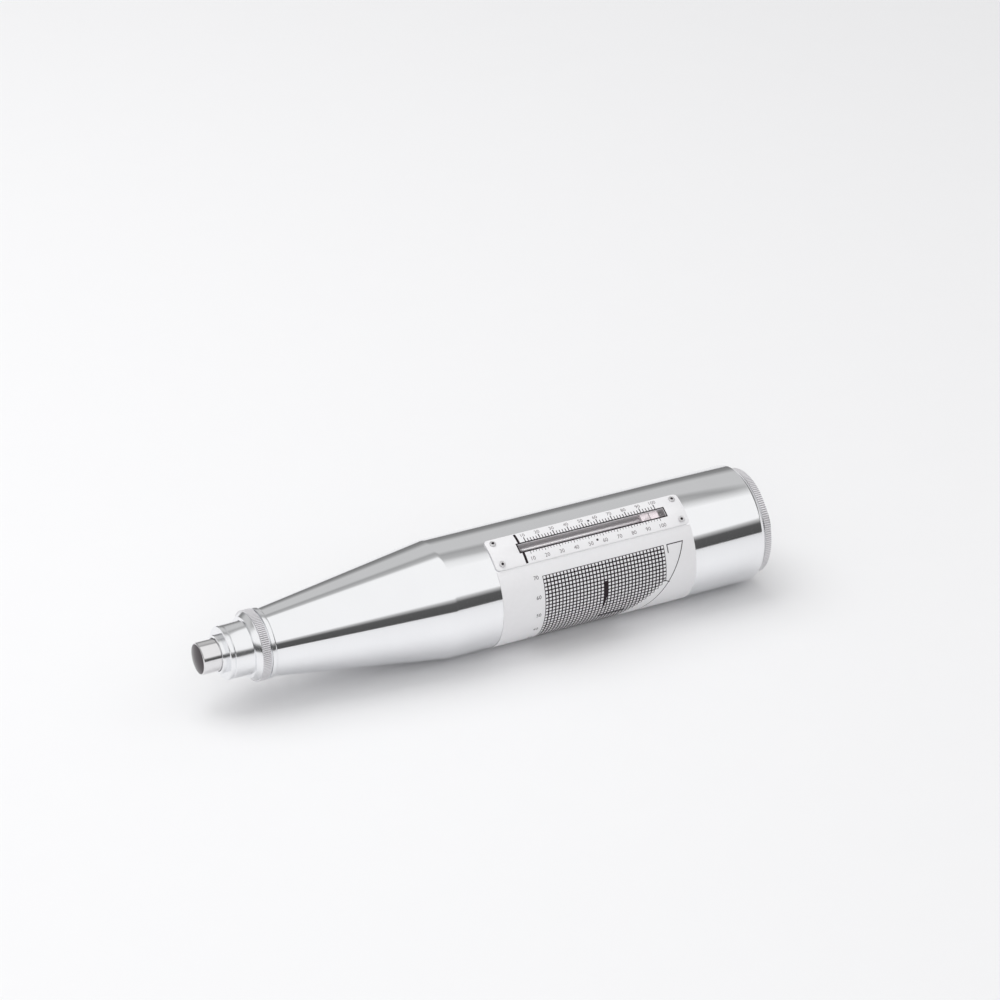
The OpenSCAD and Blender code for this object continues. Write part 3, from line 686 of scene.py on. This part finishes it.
def mottle_group():
    """Soft uneven tone and fine grain, for print, film and felt."""
    group, given, result = new_group("Mottle", ("Scale", "Amount", "Roughness"))
    link = group.links.new
    place = add_node(group, "TexCoord")
    grain = add_node(group, "TexNoise", {"Detail": 5.0})
    link(place.outputs["Object"], grain.inputs["Vector"])
    link(given.outputs["Scale"], grain.inputs["Scale"])
    centred = add_node(group, "Math", {1: 0.5}, operation="SUBTRACT")
    link(grain.outputs["Fac"], centred.inputs[0])
    swing = add_node(group, "Math", {2: 1.0}, operation="MULTIPLY_ADD")
    link(centred.outputs[0], swing.inputs[0])
    link(given.outputs["Amount"], swing.inputs[1])
    tint = add_node(group, "VectorMath", operation="SCALE")
    link(given.outputs["Color"], tint.inputs[0])
    link(swing.outputs[0], tint.inputs["Scale"])
    rough = add_node(group, "Math", operation="MULTIPLY")
    link(swing.outputs[0], rough.inputs[0])
    link(given.outputs["Roughness"], rough.inputs[1])
    link(tint.outputs[0], result.inputs["Color"])
    link(rough.outputs[0], result.inputs["Roughness"])
    link(grain.outputs["Fac"], result.inputs["Height"])
    return group


def shared_group(make):
    if make not in GROUPS:
        GROUPS[make] = make()
    return GROUPS[make]


def new_material(name, shader_values):
    """Starts a material whose shader has plain values, and returns its node tree and shader too."""
    material = bpy.data.materials.new(name)
    material.use_nodes = True
    shader = material.node_tree.nodes["Principled BSDF"]
    for socket, value in shader_values.items():
        shader.inputs[socket].default_value = value
    return material, material.node_tree, shader


def grouped_material(name, make_group, color, values, metallic, bump, relief=RELIEF, specular=0.5):
    """Makes a material from a shader group that varies colour, roughness and height."""
    material, tree, shader = new_material(name, {"Metallic": metallic, "Specular IOR Level": specular})
    values["Color"] = (*getattr(finish(), color), 1)
    effect = add_node(tree, "Group", values, node_tree=shared_group(make_group))
    tree.links.new(effect.outputs["Color"], shader.inputs["Base Color"])
    tree.links.new(effect.outputs["Roughness"], shader.inputs["Roughness"])
    if bump:
        raised = add_node(tree, "Bump", {"Strength": bump, "Distance": relief})
        tree.links.new(effect.outputs["Height"], raised.inputs["Height"])
        tree.links.new(raised.outputs["Normal"], shader.inputs["Normal"])
    return material


def turned(name, color, lines, roughness, spread, bump, metallic=1.0):
    values = {"Lines": lines, "Roughness": roughness, "Spread": spread}
    return grouped_material(name, turned_finish_group, color, values, metallic, bump)


def mottled(name, color, scale, amount, roughness, metallic=0.0, bump=0.0, relief=RELIEF, specular=0.5):
    values = {"Scale": scale, "Amount": amount, "Roughness": roughness}
    return grouped_material(name, mottle_group, color, values, metallic, bump, relief, specular)


def surface(name):
    """Makes the finish of that name, or hands out the one that is made already."""
    if name not in MATERIALS:
        if name in TURNED:
            MATERIALS[name] = turned(name, **TURNED[name])
        else:
            MATERIALS[name] = mottled(name, **MOTTLED[name])
    return MATERIALS[name]


def clear_acrylic():
    """Clear thin window: alpha is plain, and only the faint scuffs vary."""
    plain = {"Base Color": (*finish().acrylic, 1), "Alpha": 0.06, "IOR": 1.49}
    material, tree, shader = new_material("clear_acrylic", plain)
    scuff = add_node(tree, "Group", {"Scale": 1500.0, "Amount": 0.6, "Roughness": 0.06},
                     node_tree=shared_group(mottle_group))
    tree.links.new(scuff.outputs["Roughness"], shader.inputs["Roughness"])
    return material


class HAMMER_OT_casing(bpy.types.Operator):
    """Turns the polished casing and cuts its slot and button hole"""

    bl_idname = "hammer.casing"
    bl_label = "Casing"

    def execute(self, context):
        casing = turn_piece("casing_piece", self.outline())
        slot_low = WINDOW_LOW.x - 12.8 * MM
        slot_high = WINDOW_HIGH.x + 6.2 * MM
        slot_w = 4.8 * MM
        slot_depth = 9 * MM
        hole_r = 6.55 * MM
        hole_depth = 12 * MM
        mid_r = BODY_R - 2.5 * MM
        deselect()
        bpy.ops.mesh.primitive_cube_add(
            size=1, location=barrel_place((slot_low + slot_high) / 2, mid_r, SCALE_ANGLE),
            rotation=(SCALE_ANGLE, 0, 0))
        cut_away(casing, settle("slot", (slot_high - slot_low, slot_w, slot_depth)))
        # The button lies opposite the scale
        deselect()
        bpy.ops.mesh.primitive_cylinder_add(
            vertices=HOLE_SIDES, radius=hole_r, depth=hole_depth,
            location=barrel_place((BUSH_LOW.x + BUSH_HIGH.x) / 2, -mid_r, SCALE_ANGLE),
            rotation=(SCALE_ANGLE, 0, 0))
        cut_away(casing, settle("hole"))
        smooth_by_angle(casing, 20)
        finish_piece(casing, surface("polished_aluminium"), "casing", "body_aluminium", "housing")
        margin = 0.1 * MM

        def in_slot(face):
            x, y, z = face.center
            z -= AXIS_Z
            height = z * math.cos(SCALE_ANGLE) - y * math.sin(SCALE_ANGLE)
            side = y * math.cos(SCALE_ANGLE) + z * math.sin(SCALE_ANGLE)
            within = slot_low - margin < x < slot_high + margin
            in_wall = BORE_R + margin < math.hypot(y, z) < BODY_R - margin
            return within and in_wall and height > 0 and abs(side) < slot_w

        # Painted shade: the slot's walls get a matt grey, darker than the casing, that stands in for the
        # shade in the slot.
        paint_faces(casing, surface("milled_slot_and_shade"), in_slot)
        return {"FINISHED"}

    def outline(self):
        """Outline from the nose along the outside to the rear, and back through the bore."""
        nose_r = 11.05 * MM
        nose_bore_r = 9.7 * MM
        cone_front_r = 15.8 * MM
        cone_bore_r = 12.3 * MM
        shoulder_edge = 0.2 * MM
        shoulder_x = CAP_FRONT_X + 20.85 * MM
        cone_bore_x = shoulder_x + 1 * MM
        crease_x = CAP_FRONT_X + 105.6 * MM
        chamfer_x = CAP_FRONT_X + 264.8 * MM
        rear_x = HOUSING_HIGH.x
        rear_r = BODY_R - 1.6 * MM
        thread_x = rear_x - 12.0 * MM
        plate_gap = 1 * MM
        blend = 0.35 * MM
        slope = (BODY_R - cone_front_r) / (crease_x - shoulder_x)
        outline = [
            (HOUSING_LOW.x, nose_bore_r), (HOUSING_LOW.x, nose_r), (shoulder_x, nose_r),
            (shoulder_x, cone_front_r - shoulder_edge), (shoulder_x + shoulder_edge, cone_front_r),
        ]
        # The crease between the cone and the cylinder is rounded in small steps
        for step, fall in ((-2, 2.0), (-1, 1.15), (0, 0.5), (1, 0.12), (2, 0.0)):
            outline.append((crease_x + step * blend, BODY_R - fall * blend * slope))
        outline += [(PLATE_LOW.x - plate_gap, BODY_R), (PLATE_HIGH.x + plate_gap, BODY_R)]
        # So is the start of the rear chamfer, with its steps and falls in millimetres
        for step, fall in ((-0.5, 0.0), (0.0, 0.08), (0.5, 0.36)):
            outline.append((chamfer_x + step * MM, BODY_R - fall * MM))
        outline += [
            (rear_x - 0.4 * MM, rear_r + 0.14 * MM), (rear_x, rear_r - 0.3 * MM),
            (rear_x, THREAD_R), (thread_x, THREAD_R), (thread_x, BORE_R), (crease_x, BORE_R),
            (cone_bore_x, cone_bore_r), (cone_bore_x, nose_bore_r), (HOUSING_LOW.x, nose_bore_r),
        ]
        return outline


class HAMMER_OT_nose(bpy.types.Operator):
    """Turns the front cap with its knurled ring, and the plunger"""

    bl_idname = "hammer.nose"
    bl_label = "Cap and plunger"

    def execute(self, context):
        self.make_cap()
        self.make_plunger()
        return {"FINISHED"}

    def make_cap(self):
        front = CAP_LOW.x
        rear = CAP_HIGH.x
        x = CAP_FRONT_X
        hole_r = 7.8 * MM
        boss_r = 9.0 * MM
        cap_r = 12.5 * MM
        inner_r = 11.1 * MM
        inner_x = x + 3.4 * MM
        ring_r = CAP_RING_R
        core_r = knurl_core(ring_r)
        edge = 0.4 * MM
        groove_x = x + 1.8 * MM
        neck_x = x + 10.7 * MM
        bevel_x = x + 11.5 * MM
        knurl_low = x + 13.9 * MM
        knurl_high = x + 17.9 * MM
        boss = [
            (front, hole_r), (front, boss_r - edge), (front + 0.3 * edge, boss_r - 0.3 * edge),
            (front + edge, boss_r), (x, boss_r),
        ]
        plain_front = [
            (x, cap_r - 2 * edge), (x + 0.6 * edge, cap_r - 0.6 * edge), (x + 2 * edge, cap_r),
            (groove_x, cap_r), (groove_x + edge, cap_r - edge), (groove_x + 2 * edge, cap_r),
            (neck_x, cap_r),
        ]
        bevel = [
            (neck_x + 0.6 * MM, cap_r + 0.2 * MM), (bevel_x, ring_r - 2.4 * MM),
            (knurl_low - 0.3 * MM, core_r - 0.1 * MM),
        ]
        core = [(knurl_low, core_r), (knurl_high, core_r), (knurl_high + 0.45 * MM, core_r - 0.15 * MM)]
        collar = [
            (knurl_high + 0.7 * MM, ring_r - 0.12 * MM), (knurl_high + 1.0 * MM, ring_r),
            (rear - edge, ring_r), (rear - 0.1 * MM, ring_r - 0.15 * MM), (rear, ring_r - edge),
        ]
        inside = [(rear, inner_r), (inner_x, inner_r), (inner_x, hole_r), (front, hole_r)]
        outline = boss + plain_front + bevel + core + collar + inside
        cap = knurled_piece(
            "cap_piece", "front_cap", outline, knurl_low, knurl_high, ring_r, sizes().cap_teeth)
        paint_knurl(cap, knurl_low, knurl_high, ring_r)

    def make_plunger(self):
        r = 7.5 * MM
        edge_r = r - 0.6 * MM
        dome_r = 25 * MM
        steps = 10
        dome = []
        for i in range(1, steps + 1):
            ring = edge_r * i / steps
            dome.append((PLUNGER_LOW.x + dome_r - math.sqrt(dome_r ** 2 - ring ** 2), ring))
        dome_x = dome[-1][0]
        rear = PLUNGER_HIGH.x
        collar_x = rear - 12.4 * MM
        collar_r = 8.3 * MM
        bore_r = 5.1 * MM
        bore_len = 25 * MM
        shank = [
            (dome_x + 0.1 * MM, edge_r + 0.25 * MM), (dome_x + 0.35 * MM, r - 0.1 * MM),
            (dome_x + 0.7 * MM, r), (collar_x, r), (collar_x, collar_r), (rear, collar_r),
            (rear, bore_r), (rear - bore_len, bore_r),
        ]
        plunger = turn_piece("plunger_piece", dome + shank, PLUNGER_SIDES, closed_ends=True)
        smooth_by_angle(plunger, 25)
        finish_piece(plunger, surface("ground_steel"), "carriage", "plunger_steel", "plunger")
        # The domed nose's faces get the near-black steel colour.
        paint_faces(plunger, surface("hardened_steel"), lambda face: face.center.x < dome_x)


class HAMMER_OT_rear(bpy.types.Operator):
    """Turns the rear cover with its knurled rim, and finishes the trip screw and its nut"""

    bl_idname = "hammer.rear"
    bl_label = "Rear cover"

    def execute(self, context):
        front = COVER_LOW.x
        rear = COVER_HIGH.x
        thread_r = THREAD_R - 0.05 * MM
        sleeve_r = thread_r - 2.4 * MM
        rim_x = HOUSING_HIGH.x + 0.5 * MM
        core_r = knurl_core(COVER_R)
        edge = 0.35 * MM
        ring_r = core_r - 6 * MM
        ring_w = 1 * MM
        ring_depth = 0.25 * MM
        ring_slope = 0.2 * MM
        recess_r = 11 * MM
        recess_x = rear - 4 * MM
        hole_r = 4.05 * MM
        floor_x = HOUSING_HIGH.x - 3.5 * MM
        sleeve = [(front, sleeve_r), (front, thread_r), (rim_x, thread_r)]
        rim = [
            (rim_x, core_r), (rear - 2 * edge, core_r), (rear - 0.6 * edge, core_r - 0.3 * edge),
            (rear - 0.15 * edge, core_r - 0.9 * edge), (rear, core_r - 1.6 * edge),
        ]
        ring_groove = [
            (rear, ring_r), (rear - ring_depth, ring_r - ring_slope),
            (rear - ring_depth, ring_r - ring_w + ring_slope), (rear, ring_r - ring_w),
        ]
        recess = [
            (rear, recess_r + edge), (rear - 0.3 * edge, recess_r + 0.3 * edge), (rear - edge, recess_r),
            (recess_x, recess_r), (recess_x, hole_r),
        ]
        inside = [(floor_x, hole_r), (floor_x, sleeve_r), (front, sleeve_r)]
        outline = sleeve + rim + ring_groove + recess + inside
        cover = knurled_piece(
            "cover_piece", "rear_cover", outline, rim_x + sizes().knurl_depth, rear - 2 * edge,
            COVER_R, sizes().cover_teeth)
        paint_knurl(cover, rim_x, rear, COVER_R)
        merged_copy("trip_screw", surface("ground_steel"), "casing", "ground_steel")
        merged_copy("lock_nut", surface("bright_steel"), "casing", "ground_steel")
        return {"FINISHED"}


class HAMMER_OT_scale(bpy.types.Operator):
    """Finishes the scale plate, its window, screws and pins, and lays the scale's print, with painted shade
    over the screw sockets, on it
    """

    bl_idname = "hammer.scale"
    bl_label = "Scale"

    def execute(self, context):
        opening = (WINDOW_LOW.x, WINDOW_HIGH.x, -OPENING_HALF_W, OPENING_HALF_W)
        plate = curved_sheet(
            "scale_plate_piece", PLATE_LOW.x, PLATE_HIGH.x, -PLATE_HALF_ARC, PLATE_HALF_ARC,
            PLATE_TOP_R, PLATE_T, corner_r=2 * MM, hole=opening)
        finish_piece(plate, surface("scale_film"), "casing", "scale_paint", "scale_plate")
        merged_copy("scale_window", clear_acrylic(), "casing", "window")
        merged_copy("scale_screws", surface("satin_steel"), "casing", "screw_steel")
        merged_copy("window_pins", surface("black_steel"), "casing", "mass_steel")

        # The print below the window is finer than the one above it
        frame_w = 0.60 * MM
        ink = flat_frame(*opening, frame_w, cuts=5)
        digits = []
        for side, weight in ((1, 1.0), (-1, 0.55)):
            ink += self.ticks(side, weight, OPENING_HALF_W + frame_w)
            digits += self.readings(side)
        # Painted shade: dark dots over the screw sockets join the print.
        ink += self.screw_dots()
        lay_print(ink, "scale_print_and_socket_shade", "dark_ink", PLATE_TOP_R, "scale_paint")
        lay_print(digits, "scale_digits", "grey_ink", PLATE_TOP_R, "scale_paint")
        return {"FINISHED"}

    def reading_x(self, reading):
        """Place of a reading along the hammer."""
        return WINDOW_LOW.x + sizes().ten_lead + (reading - FIRST_READING) * sizes().unit_len

    def ticks(self, side, weight, start):
        """Short and long ticks on one side of the window, and the bar before the first of them."""
        first_x = self.reading_x(FIRST_READING)
        width = sizes().tick_w * weight
        ink = []
        for step, reach, half in ((2, 1.7 * MM, 0.5), (10, 2.5 * MM, 0.6)):
            low, high = sorted((side * start, side * (start + reach * weight)))
            tick = flat_bar(first_x - half * width, first_x + half * width, low, high)
            count = (LAST_READING - FIRST_READING) // step + 1
            ink.append(flat_row(tick, count, step * sizes().unit_len))
        bar_x = WINDOW_LOW.x + 1.2 * MM
        bar_half_w = 0.6 * MM
        bar_end = 8.0 * MM
        low, high = sorted((side * start, side * bar_end))
        ink.append(flat_bar(bar_x - bar_half_w, bar_x + bar_half_w, low, high, cuts=3))
        return ink

    def readings(self, side):
        """Numbers along one side of the window."""
        digit_y = 6.4 * MM
        numbers = []
        for reading in range(FIRST_READING, LAST_READING + 1, 10):
            x = self.reading_x(reading)
            numbers.append(flat_number(reading, x, side * digit_y, sizes().digit_size))
        return numbers

    def screw_dots(self):
        """Painted shade: dark dots on the heads of the four screws, standing in for the shade in their
        sockets.
        """
        rise = top_radius("scale_screws") - PLATE_TOP_R
        from_end = 3.6 * MM
        screw_y = 5.64 * MM
        shade_dot_r = 0.6 * MM
        shade_dots = []
        for x in (PLATE_LOW.x + from_end, PLATE_HIGH.x - from_end):
            for y in (-screw_y, screw_y):
                shade_dots.append(flat_dot(x, y, rise, shade_dot_r))
        return shade_dots


class HAMMER_OT_chart(bpy.types.Operator):
    """Finishes the chart label and lays its grid and marks on it"""

    bl_idname = "hammer.chart"
    bl_label = "Chart label"

    def execute(self, context):
        first, last = node_arc("chart_label")
        label = curved_sheet(
            "chart_label_piece", LABEL_LOW.x, LABEL_HIGH.x, (SCALE_ANGLE - last) * LABEL_TOP_R,
            (SCALE_ANGLE - first) * LABEL_TOP_R, LABEL_TOP_R, LABEL_T)
        finish_piece(label, surface("chart_film"), "casing", "label", "chart_label")
        cell = sizes().chart_cell
        columns = sizes().chart_columns
        rows = 24
        left = LABEL_LOW.x + 21.3 * MM
        right = left + columns * cell
        top = -15.0 * MM
        bottom = top - rows * cell
        cut_y = top - 17 * MM
        cut_slope = 0.95
        wedge_x = left + 31.5 * MM
        wedge_y = top - 9.8 * MM
        bar_x = left + 30 * MM
        bar_len = 13.8 * MM
        bar_y = top - 30.7 * MM
        bar_w = 1.1 * MM
        box_gap = 1.5 * MM

        def inside(x, y):
            return x < right - cut_slope * max(0.0, cut_y - y)

        ink = [flat_lattice(left, right, bottom, top, columns, rows, sizes().chart_line_w, inside)]
        ink += self.axis_numbers(left, top)
        ink.append(self.wedge(wedge_x, wedge_y))
        ink.append(self.raised(flat_bar(bar_x, bar_x + bar_len, bar_y - bar_w, bar_y)))
        ink += self.side_box(right + box_gap, top)
        lay_print(ink, "chart_print", "dark_ink", LABEL_TOP_R, "label")
        return {"FINISHED"}

    def axis_numbers(self, left, top):
        """Numbers down the grid's left side."""
        x = left - 3.2 * MM
        first_y = top - 0.3 * MM
        pitch = 9.4 * MM
        size = 2.6 * MM
        numbers = []
        for i, number in enumerate((70, 60, 50, 40, 30)):
            numbers.append(flat_number(number, x, first_y - i * pitch, size))
        return numbers

    def raised(self, mark):
        """Lifts a mark over the grid."""
        for vertex in mark.data.vertices:
            vertex.co.z = INK_LIFT
        return mark

    def wedge(self, x, y):
        """Tapered mark on the grid: even at its upper end, and pointed at its lower one."""
        half_w = 1.2 * MM
        length = 14.6 * MM
        even = 0.35
        taper = 0.85
        lean = 0.5 * MM
        mark = flat_bar(x - half_w, x + half_w, y - length, y, cuts=9)
        for vertex in mark.data.vertices:
            fall = max(0.0, ((y - vertex.co.y) / length - even) / (1 - even))
            vertex.co.x = x + (vertex.co.x - x) * (1 - taper * fall) - lean * fall
        return self.raised(mark)

    def side_box(self, x, y):
        """Small outlined box beside the grid, and the curved line that runs down from it."""
        width = 8.7 * MM
        height = 4.2 * MM
        thin = 0.45 * MM
        top_line = flat_bar(x, x + width, y - thin, y)
        side_line = flat_bar(x, x + thin, y - height, y, cuts=3)

        link_x = x - 3.1 * MM
        link_end = x + 0.5 * MM
        link_y = y - 16.75 * MM
        link_slope = 0.55
        link = flat_bar(link_x, link_end, link_y - thin, link_y, cuts=3)
        for vertex in link.data.vertices:
            vertex.co.y -= link_slope * (vertex.co.x - link_x)

        run = 40 * MM
        bend_len = 31.3 * MM
        bend_reach = 15.4 * MM
        bend_power = 1.15
        line = flat_bar(x + width - thin, x + width, y - run, y, cuts=31)
        for vertex in line.data.vertices:
            fall = max(0.0, (y - vertex.co.y) / bend_len)
            vertex.co.x -= bend_reach * fall ** bend_power
        return [top_line, side_line, link, line]


class HAMMER_OT_pointer(bpy.types.Operator):
    """Finishes the rider, its index line and its rod"""

    bl_idname = "hammer.pointer"
    bl_label = "Rider"

    def execute(self, context):
        merged_copy("rider", surface("pale_rider"), "pointer", "rider")
        merged_copy("rider_rod", surface("drawn_rod"), "casing", "rod_aluminium")
        # Painted shade: the rod blocks inside the slot take the slot wall's darker grey.
        merged_copy("rod_blocks", surface("milled_slot_and_shade"), "casing", "rod_aluminium")
        mid_x = (RIDER_LOW.x + RIDER_HIGH.x) / 2
        half_w = 0.16 * MM
        reach = 2.2 * MM
        line_r = BODY_R - 0.45 * MM
        line = flat_bar(mid_x - half_w, mid_x + half_w, -reach, reach, cuts=5)
        line.name = "rider_line"
        lay_on_barrel(line, line_r)
        finish_piece(line, surface("dark_ink"), "pointer", "rider")
        return {"FINISHED"}


class HAMMER_OT_button(bpy.types.Operator):
    """Finishes the push button and its bush"""

    bl_idname = "hammer.button"
    bl_label = "Push button"

    def execute(self, context):
        merged_copy("push_button", surface("bright_steel"), "button", "screw_steel")
        merged_copy("button_bush", surface("ground_steel"), "casing", "screw_steel")
        return {"FINISHED"}


class HAMMER_OT_inner(bpy.types.Operator):
    """Gives the inner pieces their finishes"""

    bl_idname = "hammer.inner"
    bl_label = "Inner pieces"

    def execute(self, context):
        finishes = {
            "ground_steel": ("guide_bar", "pawl_pin"),
            "dark_steel": ("hammer_mass", "pawl", "buffer_spring", "impact_spring", "return_spring"),
            "turned_brass": ("split_ring", "spring_seat", "guide_disk", "rider_leaf"),
            "pressed_felt": ("felt_washer",),
        }
        for name, nodes in finishes.items():
            for node in nodes:
                NODES[node].data.materials.clear()
                NODES[node].data.materials.append(surface(name))
        outwards = Vector((0, math.sin(SCALE_ANGLE), -math.cos(SCALE_ANGLE)))
        rearwards = Vector((1, 0, 0))
        button_travel = 2.5 * MM
        pawl_travel = 2.2 * MM
        self.pressed_spring("button_spring", "casing", "button_press", outwards, button_travel)
        self.pressed_spring("pawl_spring", "carriage", "pawl_pivot", rearwards, pawl_travel)
        return {"FINISHED"}

    def pressed_spring(self, node, body, joint, axis, travel):
        """Copies a spring and gives the copy its own mesh. Its joint, axis and travel are not used."""
        spring = merged_copy(node, surface("dark_steel"), body, "spring_steel")
        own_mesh(spring)


class HAMMER_OT_stage(bpy.types.Operator):
    """Makes the floor, the light and the camera"""

    bl_idname = "hammer.stage"
    bl_label = "Stage"

    def execute(self, context):
        self.make_floor(context.scene)
        self.make_surroundings(context.scene)
        for lamp in LAMPS:
            self.make_lamp(*lamp)
        self.make_camera(context.scene)
        return {"FINISHED"}

    def make_floor(self, scene):
        deselect()
        bpy.ops.mesh.primitive_plane_add(size=scene.hammer_stage.floor_size, location=(0, 0, 0))
        floor = bpy.context.object
        floor.name = "floor"
        floor.data.materials.append(surface("pale_floor"))

    def make_surroundings(self, scene):
        """Lights the stage with grey tones by height, which differ in front of the hammer and behind it."""
        scene.view_settings.view_transform = "Standard"
        scene.world = bpy.data.worlds.new("studio")
        scene.world.use_nodes = True
        tree = scene.world.node_tree
        place = add_node(tree, "TexCoord")
        split = add_node(tree, "SeparateXYZ")
        tree.links.new(place.outputs["Generated"], split.inputs[0])
        side = add_node(tree, "MapRange", {"From Min": -0.15, "From Max": 0.15})
        tree.links.new(split.outputs["Y"], side.inputs["Value"])
        blend = add_node(tree, "Mix", data_type="RGBA")
        tree.links.new(side.outputs["Result"], blend.inputs["Factor"])
        # A Mix node's two colours are its inputs 6 and 7, and the mixed one is its output 2
        for socket, tones in ((6, FRONT_TONES), (7, BEHIND_TONES)):
            ramp = self.tone_ramp(tree, tones)
            tree.links.new(split.outputs["Z"], ramp.inputs["Fac"])
            tree.links.new(ramp.outputs["Color"], blend.inputs[socket])
        tree.links.new(blend.outputs[2], tree.nodes["Background"].inputs["Color"])

    def tone_ramp(self, tree, tones):
        """Ramp of grey tones. A new one has two stops, which take the first two tones."""
        ramp = add_node(tree, "ValToRGB")
        stops = ramp.color_ramp.elements
        for i, (position, tone) in enumerate(tones):
            if i < 2:
                stop = stops[i]
                stop.position = position
            else:
                stop = stops.new(position)
            stop.color = (tone, tone, tone, 1)
        return ramp

    def make_lamp(self, name, place, lean, size, energy):
        """Adds a soft lamp. The metal mirrors the pale surroundings and not the lamp's disk."""
        deselect()
        bpy.ops.object.light_add(type="AREA", location=place)
        lamp = bpy.context.object
        lamp.name = name
        lamp.data.shape = "DISK"
        lamp.data.size = size
        lamp.data.energy = energy
        lamp.visible_glossy = False
        lamp.rotation_euler = (math.radians(lean[0]), 0, math.radians(lean[1]))

    def make_camera(self, scene):
        stage = scene.hammer_stage
        az, el = stage.azimuth, stage.elevation
        back = (math.sin(az) * math.cos(el), -math.cos(az) * math.cos(el), math.sin(el))
        aim = (stage.aim_x, 0.0, AXIS_Z + stage.aim_rise)
        deselect()
        bpy.ops.object.camera_add(
            location=[a + stage.distance * b for a, b in zip(aim, back)],
            rotation=(math.pi / 2 - el, 0, az))
        camera = bpy.context.object
        camera.name = "camera"
        camera.data.lens = stage.lens
        camera.data.sensor_width = SENSOR_W
        camera.data.clip_end = VIEW_RANGE
        scene.camera = camera


class HAMMER_PT_panel(bpy.types.Panel):
    """Lists the steps that build the hammer"""

    bl_idname = "HAMMER_PT_panel"
    bl_label = "Test hammer"
    bl_space_type = "VIEW_3D"
    bl_region_type = "UI"
    bl_category = "Test hammer"

    def draw(self, context):
        for operator in OPERATORS:
            self.layout.operator(operator.bl_idname)
        for group in (context.scene.hammer_sizes, context.scene.hammer_finish, context.scene.hammer_stage):
            for name in group.__annotations__:
                self.layout.prop(group, name)


GROUP_CLASSES = (HammerSizes, HammerFinish, HammerStage)
OPERATORS = (
    HAMMER_OT_casing, HAMMER_OT_nose, HAMMER_OT_rear, HAMMER_OT_scale, HAMMER_OT_chart,
    HAMMER_OT_pointer, HAMMER_OT_button, HAMMER_OT_inner, HAMMER_OT_stage,
)


def register():
    for cls in (*GROUP_CLASSES, *OPERATORS, HAMMER_PT_panel):
        bpy.utils.register_class(cls)
    bpy.types.Scene.hammer_sizes = bpy.props.PointerProperty(type=HammerSizes)
    bpy.types.Scene.hammer_finish = bpy.props.PointerProperty(type=HammerFinish)
    bpy.types.Scene.hammer_stage = bpy.props.PointerProperty(type=HammerStage)


def unregister():
    del bpy.types.Scene.hammer_sizes
    del bpy.types.Scene.hammer_finish
    del bpy.types.Scene.hammer_stage
    for cls in reversed((*GROUP_CLASSES, *OPERATORS, HAMMER_PT_panel)):
        bpy.utils.unregister_class(cls)


def main():
    register()
    bpy.ops.hammer.casing()
    bpy.ops.hammer.nose()
    bpy.ops.hammer.rear()
    bpy.ops.hammer.scale()
    bpy.ops.hammer.chart()
    bpy.ops.hammer.pointer()
    bpy.ops.hammer.button()
    bpy.ops.hammer.inner()
    bpy.ops.hammer.stage()
    deselect()


if __name__ == "__main__":
    main()
